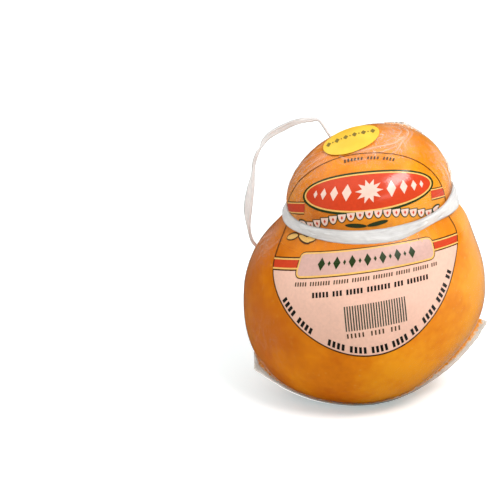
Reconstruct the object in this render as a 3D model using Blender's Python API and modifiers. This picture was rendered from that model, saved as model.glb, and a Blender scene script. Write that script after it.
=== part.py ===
"""Smoked scamorza: a pear-shaped cheese sealed in a clear bag, hung by a string tied round its neck.

Metres, +Z up. The origin is the middle of the flat spot the cheese rests on, +X is the right-hand side
seen from the front, and the front, where the printed side is, faces -Y.
"""
import math

import bmesh
import bpy
from mathutils import Matrix, Vector
from mathutils.bvhtree import BVHTree

MM = 0.001
GAP = 0.3 * MM                  # air between pieces that touch
WELD = 0.01 * MM                # points closer than this are one point

# ---- the turned form, before it leans and settles (heights measured from the middle of the body) ----
BODY_RADIUS = 42.8 * MM
BODY_BELOW = 44.9 * MM          # middle of the body to its underside
BODY_ABOVE = 42.3 * MM          # how far up the shoulder's curve would run without a head
BODY_BELOW_POWER = 2.3          # 2 is an ellipse, more is squarer
BODY_ABOVE_POWER = 1.9
HEAD_RADIUS = 30.0 * MM
HEAD_MIDDLE = 33.7 * MM         # height of the head's widest level
HEAD_ABOVE = 26.1 * MM
HEAD_BELOW = 23.2 * MM
HEAD_ABOVE_POWER = 2.1
HEAD_BELOW_POWER = 2.0
JOIN_BLEND = 3.0 * MM           # softness of the corner between shoulder and head
JOIN_REACH = 9.0 * MM           # and how unlike the two radii may be for it to act
NECK_HEIGHT = 30.7 * MM         # the string's level
GROOVE_DEPTH = 1.0 * MM         # how deep the string bites
GROOVE_HALF_WIDTH = 3.0 * MM

# ---- how the hung cheese has grown uneven ----
SPINE_LEAN = 3.4 * MM           # sideways drift of the middle line at SPINE_UNIT above the body's middle,
SPINE_BOW = -2.8 * MM           # and its square and cube terms
SPINE_HOOK = 1.9 * MM
SPINE_UNIT = 40.0 * MM
SPINE_CALM = 0.3                # the middle line drifts this much less below the body's middle
SHOULDER_SHIFT = 1.9 * MM       # the shoulder sits a little to the right of head and body
SHOULDER_LEVEL = 25.0 * MM
SHOULDER_SPREAD = 7.0 * MM
SIDE_TILT = 0.08                # rise of a level per metre to the right, from the belly up
SIDE_TILT_RANGE = (-30.0 * MM, 20.0 * MM)
FRONT_TILT = -0.08              # and per metre to the back, full at the neck
FRONT_TILT_RANGE = (-10.0 * MM, 26.0 * MM)
CROWN_CALM = 0.6                # the share of it that is gone again at the crown
CROWN_RANGE = (30.0 * MM, 58.0 * MM)
LEAN = math.radians(8.0)        # the whole cheese leans to the front
FLAT_DEPTH = 1.1 * MM           # how much the underside has settled flat
# soft dents and swellings: azimuth in degrees from +X, height, reach, amount
LUMPS = (
    (-8.0, -9.0 * MM, 20.0 * MM, 4.0 * MM),
    (-20.0, -30.0 * MM, 16.0 * MM, -1.9 * MM),
    (187.7, -28.8 * MM, 19.3 * MM, 2.0 * MM),
    (221.6, -31.4 * MM, 15.3 * MM, 1.6 * MM),
    (110.0, 6.0 * MM, 22.0 * MM, -0.9 * MM),
    (60.0, 44.0 * MM, 14.0 * MM, 0.5 * MM),
)
LUMP_CORE = 6.0 * MM            # nearer the axis than this a lump swells no faster
PROFILE_SAMPLES = 900
PROFILE_POINTS = 54
NECK_FINENESS = 1.8             # how much closer the rings lie at the neck
NECK_FINE_REACH = 5.0 * MM
PEAR_STEPS = 72

# ---- the bag's heat-sealed seam and its gathered end ----
SEAM_TILT = math.radians(14.0)  # the seam's plane, from upright, underside forward
SEAM_THICKNESS = 0.8 * MM
SEAM_ROOT = 1.6 * MM            # how far the seam is rooted in the pack
# start and end angle below +X, height at start, middle and end
SEAM_RIGHT = (18.5, 69.0, 3.4 * MM, 3.0 * MM, 0.4 * MM)
SEAM_LEFT = (142.5, 111.0, 2.1 * MM, 1.4 * MM, 0.4 * MM)
GATHER_TILT = math.radians(24.0)
GATHER = (-78.0, -50.0, 0.3 * MM, 1.3 * MM, 0.4 * MM)
SEAM_STEPS = 22
OUTSIDE = 200.0 * MM            # farther from the middle than any of the pack

# ---- string, knot and loop (places in the finished frame) ----
STRING_WIDTH_FRONT = 5.2 * MM
STRING_WIDTH_BACK = 3.2 * MM
STRING_NARROWING = 3            # how soon it narrows to the back
STRING_THICKNESS = 0.9 * MM
STRING_EDGE = 0.35 * MM         # rounding of the band's long edges
STRING_ROWS = 4
STRING_STEPS = 84
KNOT_PLACE = Vector((4.65, 30.95, 78.15)) * MM
KNOT_TIP = math.radians(35.0)   # how far the knot leans up the back of the head
KNOT_SIZE = 1.2 * MM            # scale of its three-lobed path
KNOT_RISE = 1.4                 # how far its strands pass over each other, in that scale
KNOT_CORD_RADIUS = 0.75 * MM
KNOT_POINTS = 42
LOOP_DIAMETER = 2.6 * MM
LOOP_SPACING = 5.6 * MM         # between the cord's points, on a smooth curve through the route
CURVE_STEPS = 12                # samples of that curve between two of the route's points
LOOP_ROUTE = (                  # from the knot, up behind the head, over to the left and back, in mm
    (4.2, 30.7, 82.8), (-3.4, 28.9, 84.4), (-8.8, 26.0, 91.5), (-13.0, 26.3, 97.4), (-16.7, 26.0, 97.8),
    (-21.1, 25.5, 97.2), (-25.9, 25.0, 95.3), (-32.7, 24.0, 91.2), (-36.5, 22.5, 84.1), (-38.1, 21.5, 75.0),
    (-39.4, 20.5, 65.5), (-39.0, 20.2, 57.2), (-37.2, 22.2, 50.7), (-33.6, 29.2, 46.9), (-27.6, 35.4, 49.4),
    (-19.0, 38.0, 56.6), (-9.4, 36.2, 66.0), (0.8, 32.7, 76.0),
)

# ---- sticker ----
STICKER_DIAMETER = 22.4 * MM
STICKER_THICKNESS = 0.4 * MM
STICKER_SIDES = 32
STICKER_RINGS = 4
STICKER_PLACE = Vector((-2.85, -6.8, 101.3)) * MM
STICKER_FACING = Vector((-0.28, -0.12, 0.95))
STICKER_LIFT = 6.0 * MM         # it starts this far off the head and is laid on


# ---------------------------------------------------------------------------------------------------
def clear_scene():
    for old in list(bpy.data.objects):
        bpy.data.objects.remove(old, do_unlink=True)


def make_collection(name):
    collection = bpy.data.collections.new(name)
    bpy.context.scene.collection.children.link(collection)
    return collection


def make_material(name, colour, roughness):
    material = bpy.data.materials.new(name)
    material.use_nodes = True
    shader = material.node_tree.nodes["Principled BSDF"]
    shader.inputs["Base Color"].default_value = (*colour, 1.0)
    shader.inputs["Roughness"].default_value = roughness
    shader.inputs["Metallic"].default_value = 0.0
    return material


def add_object(name, data, collection, material=None):
    new = bpy.data.objects.new(name, data)
    collection.objects.link(new)
    if material is not None:
        data.materials.append(material)
    return new


def evaluated_mesh(source, name):
    """A plain mesh of what an object shows with its modifiers, with the caps of a curve welded."""
    bpy.context.view_layer.update()
    depsgraph = bpy.context.evaluated_depsgraph_get()
    mesh = bpy.data.meshes.new_from_object(source.evaluated_get(depsgraph))
    mesh.name = name
    work = bmesh.new()
    work.from_mesh(mesh)
    bmesh.ops.remove_doubles(work, verts=work.verts, dist=WELD)
    bmesh.ops.recalc_face_normals(work, faces=work.faces)
    work.to_mesh(mesh)
    work.free()
    return mesh


def shade_round(mesh, angle=50.0):
    mesh.shade_smooth()
    mesh.set_sharp_from_angle(angle=math.radians(angle))


def ease(value, low, high):
    t = min(max((value - low) / (high - low), 0.0), 1.0)
    return t * t * (3.0 - 2.0 * t)


def evenly_along(points, weights, count):
    """Points at even steps along a path, each of its stretches counted at length times weight."""
    reach = [0.0]
    for start, end, weight in zip(points, points[1:], weights):
        reach.append(reach[-1] + weight * (end - start).length)
    even, k = [], 0
    for i in range(count):
        want = reach[-1] * i / (count - 1)
        while k < len(reach) - 2 and reach[k + 1] < want:
            k += 1
        even.append(points[k].lerp(points[k + 1], (want - reach[k]) / (reach[k + 1] - reach[k])))
    return even, reach[-1]


# ---- the form of the pear -------------------------------------------------------------------------
def superellipse(x, power):
    inside = 1.0 - abs(x) ** power
    return inside ** (1.0 / power) if inside > 0.0 else 0.0


def turned_radius(z):
    """Radius of the upright turned form at height z: a body, a head and a soft corner between them."""
    if z < 0.0:
        body = BODY_RADIUS * superellipse(z / BODY_BELOW, BODY_BELOW_POWER)
    else:
        body = BODY_RADIUS * superellipse(z / BODY_ABOVE, BODY_ABOVE_POWER)
    above = z - HEAD_MIDDLE
    if above > 0.0:
        head = HEAD_RADIUS * superellipse(above / HEAD_ABOVE, HEAD_ABOVE_POWER)
    else:
        head = HEAD_RADIUS * superellipse(above / HEAD_BELOW, HEAD_BELOW_POWER)
    larger = max(body, head)
    if larger <= 0.0:
        return 0.0
    blended = 0.5 * (body + head + math.hypot(body - head, JOIN_BLEND))
    near = math.exp(-((body - head) / JOIN_REACH) ** 2)
    groove = GROOVE_DEPTH * math.exp(-((z - NECK_HEIGHT) / GROOVE_HALF_WIDTH) ** 2)
    return max(larger * (1.0 - near) + blended * near - groove, 0.0)


def pear_profile():
    """Points (radius, 0, height) from the top down to the underside, closer together at the neck."""
    bottom, top = -BODY_BELOW, HEAD_MIDDLE + HEAD_ABOVE
    dense, closeness = [], []
    for i in range(PROFILE_SAMPLES + 1):
        z = bottom + (top - bottom) * 0.5 * (1.0 + math.cos(math.pi * i / PROFILE_SAMPLES))
        dense.append(Vector((turned_radius(z), 0.0, z)))
        closeness.append(1.0 + NECK_FINENESS * math.exp(-((z - NECK_HEIGHT) / NECK_FINE_REACH) ** 2))
    points, _ = evenly_along(dense, closeness, PROFILE_POINTS)
    points[0].x = points[-1].x = 0.0
    return points


def lump_at(point):
    total = 0.0
    for azimuth, height, spread, amount in LUMPS:
        angle = math.radians(azimuth)
        radius = turned_radius(height)
        centre = Vector((radius * math.cos(angle), radius * math.sin(angle), height))
        total += amount * math.exp(-((point - centre).length / spread) ** 2)
    return total


def settle(point):
    """Carries a point of the upright turned form to where it is in the uneven, leaning cheese."""
    x, y, z = point
    around = math.hypot(x, y)
    swell = 1.0 + lump_at(Vector(point)) / max(around, LUMP_CORE)
    x, y = x * swell, y * swell
    u = (z if z > 0.0 else z * SPINE_CALM) / SPINE_UNIT
    drift = SPINE_LEAN * u + SPINE_BOW * u * u + SPINE_HOOK * u ** 3
    drift += SHOULDER_SHIFT * math.exp(-((z - SHOULDER_LEVEL) / SHOULDER_SPREAD) ** 2)
    side = SIDE_TILT * ease(z, *SIDE_TILT_RANGE)
    front = FRONT_TILT * ease(z, *FRONT_TILT_RANGE) * (1.0 - CROWN_CALM * ease(z, *CROWN_RANGE))
    z = z + side * x + front * y
    x = x * math.sqrt(1.0 - side * side) + drift
    return Vector((x,
                   y * math.cos(LEAN) - z * math.sin(LEAN),
                   y * math.sin(LEAN) + z * math.cos(LEAN)))


def lathe(name, points, closed, steps, collection):
    """A profile in the XZ plane turned about +Z by a Screw modifier."""
    work = bmesh.new()
    verts = [work.verts.new(point) for point in points]
    for a, b in zip(verts, verts[1:]):
        work.edges.new((a, b))
    if closed:
        work.edges.new((verts[-1], verts[0]))
    mesh = bpy.data.meshes.new(name)
    work.to_mesh(mesh)
    work.free()
    profile = add_object(name + "_profile", mesh, collection)
    screw = profile.modifiers.new("turn", 'SCREW')
    screw.axis = 'Z'
    screw.steps = steps
    screw.render_steps = steps
    screw.use_merge_vertices = True
    screw.merge_threshold = WELD
    turned = evaluated_mesh(profile, name)
    bpy.data.objects.remove(profile, do_unlink=True)
    return turned


def cut_flat(work, height):
    """Planes off everything below a height and closes the face."""
    geometry = work.verts[:] + work.edges[:] + work.faces[:]
    bmesh.ops.bisect_plane(work, geom=geometry, dist=1e-7, plane_co=(0.0, 0.0, height),
                           plane_no=(0.0, 0.0, 1.0), clear_inner=True)
    rim = [edge for edge in work.edges if edge.is_boundary]
    bmesh.ops.edgeloop_fill(work, edges=rim)
    bmesh.ops.recalc_face_normals(work, faces=work.faces)


def make_pear(collection, guides, material):
    """The cheese in its bag, and the way from the turned form's frame to the finished one."""
    mesh = lathe("scamorza", pear_profile(), False, PEAR_STEPS, guides)
    for vertex in mesh.vertices:
        vertex.co = settle(vertex.co)
    floor = min(vertex.co.z for vertex in mesh.vertices) + FLAT_DEPTH
    work = bmesh.new()
    work.from_mesh(mesh)
    cut_flat(work, floor)
    underside = min(work.faces, key=lambda face: face.calc_center_median().z)
    centre = underside.calc_center_median_weighted()
    to_origin = Vector((-centre.x, -centre.y, -floor))
    bmesh.ops.translate(work, verts=work.verts, vec=to_origin)
    work.to_mesh(mesh)
    work.free()
    shade_round(mesh)
    return add_object("scamorza", mesh, collection, material), to_origin


# ---- seam and gathered film -----------------------------------------------------------------------
def film_fin(name, pear, middle, tilt, span, guides):
    """A flat fin of doubled film in a plane through middle: an outline that follows the pack's edge."""
    start, end, first, centre_height, last = span
    tree = BVHTree.FromObject(pear, bpy.context.evaluated_depsgraph_get())
    frame = Matrix.Translation(middle) @ Matrix.Rotation(math.pi / 2.0 - tilt, 4, 'X')
    outer, inner = [], []
    for i in range(SEAM_STEPS + 1):
        t = i / SEAM_STEPS
        angle = -math.radians(start + (end - start) * t)
        along = Vector((math.cos(angle), math.sin(angle), 0.0))
        direction = (frame.to_3x3() @ along).normalized()
        hit = tree.ray_cast(middle + direction * OUTSIDE, -direction)[0]
        radius = (hit - middle).length
        if t < 0.5:
            height = first + (centre_height - first) * ease(t, 0.0, 0.5)
        else:
            height = centre_height + (last - centre_height) * ease(t, 0.5, 1.0)
        outer.append(along * (radius + height))
        inner.append(along * (radius - SEAM_ROOT))
    outline = outer + inner[::-1]
    curve = bpy.data.curves.new(name, 'CURVE')
    curve.dimensions = '2D'
    curve.fill_mode = 'BOTH'
    curve.extrude = SEAM_THICKNESS / 2.0
    spline = curve.splines.new('POLY')
    spline.points.add(len(outline) - 1)
    for node, place in zip(spline.points, outline):
        node.co = (place.x, place.y, 0.0, 1.0)
    spline.use_cyclic_u = True
    drawn = add_object(name + "_outline", curve, guides)
    solid = add_object(name, evaluated_mesh(drawn, name), guides)
    bpy.data.objects.remove(drawn, do_unlink=True)
    solid.matrix_world = frame
    solid.hide_render = True
    solid.display_type = 'WIRE'
    return solid


def join_to(target, piece):
    union = target.modifiers.new("join_" + piece.name, 'BOOLEAN')
    union.operation = 'UNION'
    union.solver = 'EXACT'
    union.object = piece


# ---- string, knot and loop ------------------------------------------------------------------------
def string_section(base):
    """A flat band's closed section, standing GAP outside the radius base at the neck's height."""
    half = STRING_WIDTH_FRONT / 2.0
    flat = half - STRING_EDGE
    heights = [flat * (2.0 * i / STRING_ROWS - 1.0) for i in range(STRING_ROWS + 1)]
    near, middle, far = GAP, GAP + STRING_THICKNESS / 2.0, GAP + STRING_THICKNESS
    section = [(far, height) for height in reversed(heights)] + [(middle, -half)]
    section += [(near, height) for height in heights] + [(middle, half)]
    return [(base + out, 0.0, NECK_HEIGHT + up) for out, up in section]


def make_string(collection, guides, material, to_origin):
    base = turned_radius(NECK_HEIGHT)
    mesh = lathe("neck_string", string_section(base), True, STRING_STEPS, guides)
    back = STRING_WIDTH_BACK / STRING_WIDTH_FRONT
    for vertex in mesh.vertices:
        x, y, z = vertex.co
        around = math.hypot(x, y)
        facing = (0.5 - 0.5 * y / around) ** STRING_NARROWING
        height = NECK_HEIGHT + (z - NECK_HEIGHT) * (back + (1.0 - back) * facing)
        radius = turned_radius(height) + around - base
        vertex.co = settle((x / around * radius, y / around * radius, height)) + to_origin
    shade_round(mesh)
    return add_object("neck_string", mesh, collection, material)


def tube(name, points, radius, closed, collection, material):
    curve = bpy.data.curves.new(name, 'CURVE')
    curve.dimensions = '3D'
    curve.fill_mode = 'FULL'
    curve.bevel_depth = radius
    curve.bevel_resolution = 2
    curve.use_fill_caps = not closed
    spline = curve.splines.new('POLY')
    spline.points.add(len(points) - 1)
    for node, place in zip(spline.points, points):
        node.co = (*place, 1.0)
    spline.use_cyclic_u = closed
    return add_object(name, curve, collection, material)


def smooth_route(route, spacing):
    """Evenly spaced points on a smooth curve through a route's own points (Catmull-Rom)."""
    keys = [Vector(place) * MM for place in route]
    keys = [2.0 * keys[0] - keys[1]] + keys + [2.0 * keys[-1] - keys[-2]]
    fine = []
    for before, start, end, after in zip(keys, keys[1:], keys[2:], keys[3:]):
        for i in range(CURVE_STEPS):
            t = i / CURVE_STEPS
            fine.append(0.5 * (2.0 * start + (end - before) * t
                               + (2.0 * before - 5.0 * start + 4.0 * end - after) * t * t
                               + (3.0 * start - before - 3.0 * end + after) * t ** 3))
    fine.append(keys[-2])
    alike = [1.0] * len(fine)
    length = evenly_along(fine, alike, 2)[1]
    return evenly_along(fine, alike, round(length / spacing) + 1)[0]


def knot_path():
    """The closed path of a three-lobed overhand knot, flat against the back of the neck."""
    turn = Matrix.Rotation(KNOT_TIP - math.pi / 2.0, 3, 'X')
    path = []
    for i in range(KNOT_POINTS):
        t = 2.0 * math.pi * i / KNOT_POINTS
        lobe = Vector((math.sin(t) + 2.0 * math.sin(2.0 * t),
                       math.cos(t) - 2.0 * math.cos(2.0 * t),
                       -KNOT_RISE * math.sin(3.0 * t)))
        path.append(KNOT_PLACE + turn @ (lobe * KNOT_SIZE))
    return path


# ---- sticker --------------------------------------------------------------------------------------
def make_sticker(collection, pear, material):
    work = bmesh.new()
    bmesh.ops.create_circle(work, cap_ends=True, cap_tris=True, segments=STICKER_SIDES,
                            radius=STICKER_DIAMETER / 2.0)
    spokes = [edge for edge in work.edges if not edge.is_boundary]
    bmesh.ops.subdivide_edges(work, edges=spokes, cuts=STICKER_RINGS - 1)
    mesh = bpy.data.meshes.new("sticker")
    work.to_mesh(mesh)
    work.free()
    shade_round(mesh)
    sticker = add_object("sticker", mesh, collection, material)
    sticker.rotation_mode = 'QUATERNION'
    sticker.rotation_quaternion = STICKER_FACING.to_track_quat('Z', 'Y')
    sticker.location = STICKER_PLACE + STICKER_FACING.normalized() * STICKER_LIFT
    wrap = sticker.modifiers.new("lay_on", 'SHRINKWRAP')
    wrap.target = pear
    wrap.wrap_method = 'PROJECT'
    wrap.use_project_z = True
    wrap.use_positive_direction = False
    wrap.use_negative_direction = True
    wrap.offset = GAP
    paper = sticker.modifiers.new("paper", 'SOLIDIFY')
    paper.thickness = STICKER_THICKNESS
    paper.offset = 1.0
    return sticker


# ---------------------------------------------------------------------------------------------------
clear_scene()
parts = make_collection("smoked_scamorza")
guides = make_collection("guides")

cheese = make_material("smoked_rind_in_clear_bag", (0.68, 0.25, 0.016), 0.28)
twine = make_material("white_plastic_string", (0.76, 0.72, 0.66), 0.45)
yellow = make_material("yellow_paper", (0.95, 0.66, 0.05), 0.5)

pear, to_origin = make_pear(parts, guides, cheese)
make_sticker(parts, pear, yellow)
head_middle = settle((0.0, 0.0, HEAD_MIDDLE)) + to_origin
for fin in (film_fin("seam_right", pear, to_origin, SEAM_TILT, SEAM_RIGHT, guides),
            film_fin("seam_left", pear, to_origin, SEAM_TILT, SEAM_LEFT, guides),
            film_fin("gathered_end", pear, head_middle, GATHER_TILT, GATHER, guides)):
    join_to(pear, fin)

make_string(parts, guides, twine, to_origin)
tube("knot", knot_path(), KNOT_CORD_RADIUS, True, parts, twine)
tube("hanging_loop", smooth_route(LOOP_ROUTE, LOOP_SPACING), LOOP_DIAMETER / 2.0, False, parts, twine)
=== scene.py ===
# %% [markdown]
# # A smoked scamorza in its clear bag
#
# The real thing is a pear-shaped cheese, sealed in a clear bag that was shrunk tight around it, with a
# printed round on the bag's front, a flat plastic string tied round the neck and a yellow sticker on
# the crown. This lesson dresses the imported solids: the cheese, the bag, the print, the string and the
# sticker each become a piece of their own, in the place that the solids give them.

import math

import bmesh
import bpy
import numpy as np
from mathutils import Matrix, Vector, noise
from mathutils.bvhtree import BVHTree


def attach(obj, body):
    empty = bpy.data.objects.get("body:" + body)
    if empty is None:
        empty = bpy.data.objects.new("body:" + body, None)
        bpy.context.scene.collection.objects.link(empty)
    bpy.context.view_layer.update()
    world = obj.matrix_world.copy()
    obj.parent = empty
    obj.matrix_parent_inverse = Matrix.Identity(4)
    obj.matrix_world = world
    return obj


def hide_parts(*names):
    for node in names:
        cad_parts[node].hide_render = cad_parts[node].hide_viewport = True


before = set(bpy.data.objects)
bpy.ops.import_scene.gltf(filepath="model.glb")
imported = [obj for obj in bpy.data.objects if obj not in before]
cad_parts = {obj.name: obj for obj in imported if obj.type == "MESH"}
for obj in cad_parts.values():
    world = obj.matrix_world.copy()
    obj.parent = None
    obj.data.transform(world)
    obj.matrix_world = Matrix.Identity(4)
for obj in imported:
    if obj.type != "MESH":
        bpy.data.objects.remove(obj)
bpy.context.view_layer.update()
MM = 0.001
print("nodes:", sorted(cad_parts))

# %% [markdown]
# ## The camera
#
# The camera comes first. It looks along +Y and 20 degrees down, with a long lens as in a product shot,
# so that lines stay calm and the round form isn't swollen. The colours are shown as they are, without
# a film look, because the photographed cheese stands on pure white.

# %% Set up the camera
CAMERA_PLACE = (-38.72 * MM, -839.13 * MM, 361.43 * MM)
CAMERA_PITCH = math.radians(70.0)
LENS_MM = 175.68
SENSOR_MM = 36.0
NEAREST_SEEN = 10.0 * MM

camera = bpy.data.objects.new("camera", bpy.data.cameras.new("camera"))
bpy.context.scene.collection.objects.link(camera)
camera.location = CAMERA_PLACE
camera.rotation_euler = (CAMERA_PITCH, 0.0, 0.0)
camera.data.lens = LENS_MM
camera.data.sensor_width = SENSOR_MM
camera.data.clip_start = NEAREST_SEEN
bpy.context.scene.camera = camera
bpy.context.scene.view_settings.view_transform = 'Standard'
print("camera at", CAMERA_PLACE, "lens", LENS_MM, "mm")

# %% [markdown]
# ## Helpers for working by hand
#
# An operator acts on everything that is selected, so each step starts with nothing selected. A finished
# piece has its place in its mesh and its object at the origin, rides on the part's one body, and takes
# its finish from a material.

# %% Selection and finishing helpers
def select_only(*pieces):
    bpy.ops.object.select_all(action='DESELECT')
    for piece in pieces:
        piece.select_set(True)
    bpy.context.view_layer.objects.active = pieces[0]


def edit(piece):
    """Opens a piece in edit mode with everything selected."""
    select_only(piece)
    bpy.ops.object.mode_set(mode='EDIT')
    bpy.ops.mesh.select_all(action='SELECT')


def done():
    bpy.ops.object.mode_set(mode='OBJECT')


def join(pieces, name):
    select_only(*pieces)
    if len(pieces) > 1:
        bpy.ops.object.join()
    whole = bpy.context.object
    whole.name = whole.data.name = name
    return whole


def coordinates(piece):
    flat = np.empty(len(piece.data.vertices) * 3, np.float32)
    piece.data.vertices.foreach_get("co", flat)
    return flat.reshape(-1, 3).astype(float)


def move_vertices(piece, points):
    piece.data.vertices.foreach_set("co", points.astype(np.float32).ravel())
    piece.data.update()


def give_values(piece, name, values):
    """Stores one number for each vertex, which a material reads by this name."""
    layer = piece.data.attributes.new(name, 'FLOAT', 'POINT')
    layer.data.foreach_set("value", values.astype(np.float32))


def finish_piece(piece, material, smooth=40.0):
    piece.data.materials.clear()
    piece.data.materials.append(material)
    select_only(piece)
    bpy.ops.object.shade_smooth_by_angle(angle=math.radians(smooth))
    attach(piece, "root")
    print(piece.name, len(piece.data.polygons), "faces")
    return piece


# %% [markdown]
# ## The form, as a formula
#
# Bag, print and string all cling to the same surface, so it pays to have that surface as a function.
# Like the solid, it is a turned form, a body and a head with a soft corner between them, which then
# leans and settles unevenly. A place on it is given by an angle round the axis, 0 at +X and -90 degrees
# at the front, and by the way walked up along the outline from the middle of the underside.

# %% Sizes of the form
BODY_RADIUS = 42.8 * MM
BODY_BELOW = 44.9 * MM
BODY_ABOVE = 42.3 * MM
BODY_FULLNESS = (2.3, 1.9)      # below and above its widest place, where 2 is an ellipse
HEAD_RADIUS = 30.0 * MM
HEAD_MIDDLE = 33.7 * MM
HEAD_ABOVE = 26.1 * MM
HEAD_BELOW = 23.2 * MM
HEAD_FULLNESS = (2.0, 2.1)
JOIN_BLEND = 3.0 * MM
JOIN_REACH = 9.0 * MM
NECK_HEIGHT = 30.7 * MM
GROOVE_DEPTH = 1.0 * MM
GROOVE_HALF_WIDTH = 3.0 * MM
print("body", round(2.0 * BODY_RADIUS / MM, 1), "mm across, head", round(2.0 * HEAD_RADIUS / MM, 1), "mm")

# %% [markdown]
# ### The upright outline
#
# Body and head are each an oval, fuller or slimmer than an ellipse: the fullness is the power that rounds
# it off. A lathe profile could be drawn by hand too, but two ovals have only a few sizes to tune. Where
# they meet, the larger one is blended into a soft corner, and a shallow groove takes the string.

# %% The turned form's radius at any height
def ease(value, low, high):
    t = np.clip((value - low) / (high - low), 0.0, 1.0)
    return t * t * (3.0 - 2.0 * t)


def bell(distance, width):
    return np.exp(-(distance / width) ** 2)


def round_off(x, power):
    return np.maximum(1.0 - np.abs(x) ** power, 0.0) ** (1.0 / power)


def oval_radius(above, below, over, fullness):
    """Share of an oval's radius at a height above its middle, which ends at below and over."""
    return np.where(above < 0.0, round_off(above / below, fullness[0]), round_off(above / over, fullness[1]))


def turned_radius(z):
    """Radius of the upright turned form at a height above the middle of the body."""
    z = np.asarray(z, float)
    body = BODY_RADIUS * oval_radius(z, BODY_BELOW, BODY_ABOVE, BODY_FULLNESS)
    head = HEAD_RADIUS * oval_radius(z - HEAD_MIDDLE, HEAD_BELOW, HEAD_ABOVE, HEAD_FULLNESS)
    larger = np.maximum(body, head)
    blended = 0.5 * (body + head + np.hypot(body - head, JOIN_BLEND))
    near = bell(body - head, JOIN_REACH)
    groove = GROOVE_DEPTH * bell(z - NECK_HEIGHT, GROOVE_HALF_WIDTH)
    radius = np.maximum(larger * (1.0 - near) + blended * near - groove, 0.0)
    return np.where(larger > 0.0, radius, 0.0)


print("neck", round(2.0 * float(turned_radius(NECK_HEIGHT)) / MM, 1), "mm across")

# %% [markdown]
# ### From the turned form to the uneven cheese
#
# A soft cheese is never quite round. It bulges and dents, its head drifts to one side, and the string sits
# askew. Each lump pushes the form away from its axis round one place, the heights are slanted, and the
# whole is tipped. It could be sculpted as well, but a function can be asked where any point goes, and the
# print and the string need that.

# %% Lumps, drift and lean
LEAN = math.radians(8.0)
TO_ORIGIN = np.array((1.785, 1.828, 44.091)) * MM
DRIFT = (3.4 * MM, -2.8 * MM, 1.9 * MM)     # to the right, as a cubic of the height
DRIFT_HEIGHT = 40.0 * MM
NECK_DRIFT = 1.9 * MM
NECK_DRIFT_HEIGHT = 25.0 * MM
NECK_DRIFT_REACH = 7.0 * MM
SIDE_SLANT = 0.08
FRONT_SLANT = -0.08
THINNEST = 6.0 * MM             # lumps push no harder nearer to the axis than this
LUMPS = (                       # azimuth, height, reach, amount
    (-8.0, -9.0 * MM, 20.0 * MM, 4.0 * MM),
    (-20.0, -30.0 * MM, 16.0 * MM, -1.9 * MM),
    (187.7, -28.8 * MM, 19.3 * MM, 2.0 * MM),
    (221.6, -31.4 * MM, 15.3 * MM, 1.6 * MM),
    (110.0, 6.0 * MM, 22.0 * MM, -0.9 * MM),
    (60.0, 44.0 * MM, 14.0 * MM, 0.5 * MM),
)


def settle(points):
    """Carries points of the upright turned form to where they are in the leaning cheese."""
    x, y, z = points.T
    around = np.hypot(x, y)
    lump = np.zeros(len(points))
    for azimuth, height, reach, amount in LUMPS:
        radius = float(turned_radius(height))
        angle = math.radians(azimuth)
        middle = np.array((radius * math.cos(angle), radius * math.sin(angle), height))
        lump += amount * bell(np.linalg.norm(points - middle, axis=1), reach)
    swell = 1.0 + lump / np.maximum(around, THINNEST)
    x, y = x * swell, y * swell
    u = np.where(z > 0.0, z, 0.3 * z) / DRIFT_HEIGHT
    drift = DRIFT[0] * u + DRIFT[1] * u ** 2 + DRIFT[2] * u ** 3
    drift += NECK_DRIFT * bell(z - NECK_DRIFT_HEIGHT, NECK_DRIFT_REACH)
    side = SIDE_SLANT * ease(z, -30.0 * MM, 20.0 * MM)
    front = FRONT_SLANT * ease(z, -10.0 * MM, 26.0 * MM) * (1.0 - 0.6 * ease(z, 30.0 * MM, 58.0 * MM))
    z = z + side * x + front * y
    x = x * np.sqrt(1.0 - side ** 2) + drift
    leant = (x, y * math.cos(LEAN) - z * math.sin(LEAN), y * math.sin(LEAN) + z * math.cos(LEAN))
    return np.stack(leant, axis=1) + TO_ORIGIN


crown = settle(np.array(((0.0, 0.0, HEAD_MIDDLE + HEAD_ABOVE),)))[0]
print("crown at", np.round(crown / MM, 1), "mm")

# %% [markdown]
# ### The skin
#
# A place on the cheese is found as with a tape measure: so far round, and so far up along the outline.
# The outline's length is added up from many short steps, and a table then gives the height for each way
# walked. The direction that the skin faces comes from two tiny steps on it, one round and one up.

# %% The outline's length, and the skin at any place on it
OUTLINE_SAMPLES = 4001
SMALL_STEP = 0.05 * MM

rise = 0.5 * (1.0 - np.cos(np.linspace(0.0, math.pi, OUTLINE_SAMPLES)))
heights = -BODY_BELOW + (HEAD_MIDDLE + HEAD_ABOVE + BODY_BELOW) * rise
radii = turned_radius(heights)
walked = np.concatenate(([0.0], np.cumsum(np.hypot(np.diff(radii), np.diff(heights)))))
OUTLINE = walked[-1]
NECK_WALK = float(np.interp(NECK_HEIGHT, heights, walked))


def skin(angle, walk, lift=0.0):
    """Points on the cheese's surface, and lifted off it. Below the floor the surface lies flat."""
    angle, walk = np.broadcast_arrays(np.asarray(angle, float), np.asarray(walk, float))
    z = np.interp(walk, walked, heights)
    r = turned_radius(z)
    slope_r = (turned_radius(np.interp(walk + SMALL_STEP, walked, heights)) - r) / SMALL_STEP
    slope_z = np.sqrt(np.maximum(1.0 - slope_r ** 2, 0.0))
    turned = np.stack((r * np.cos(angle), r * np.sin(angle), z), axis=1)
    round_way = np.stack((-np.sin(angle), np.cos(angle), 0.0 * angle), axis=1)
    up_way = np.stack((slope_r * np.cos(angle), slope_r * np.sin(angle), slope_z), axis=1)
    place = settle(turned)
    across = settle(turned + SMALL_STEP * round_way) - place
    along = settle(turned + SMALL_STEP * up_way) - place
    normal = np.cross(across, along)
    normal /= np.maximum(np.linalg.norm(normal, axis=1, keepdims=True), 1e-12)
    return place + normal * np.reshape(lift, (-1, 1)), normal


print("outline", round(OUTLINE / MM, 1), "mm from underside to crown, neck at", round(NECK_WALK / MM, 1))

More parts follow.
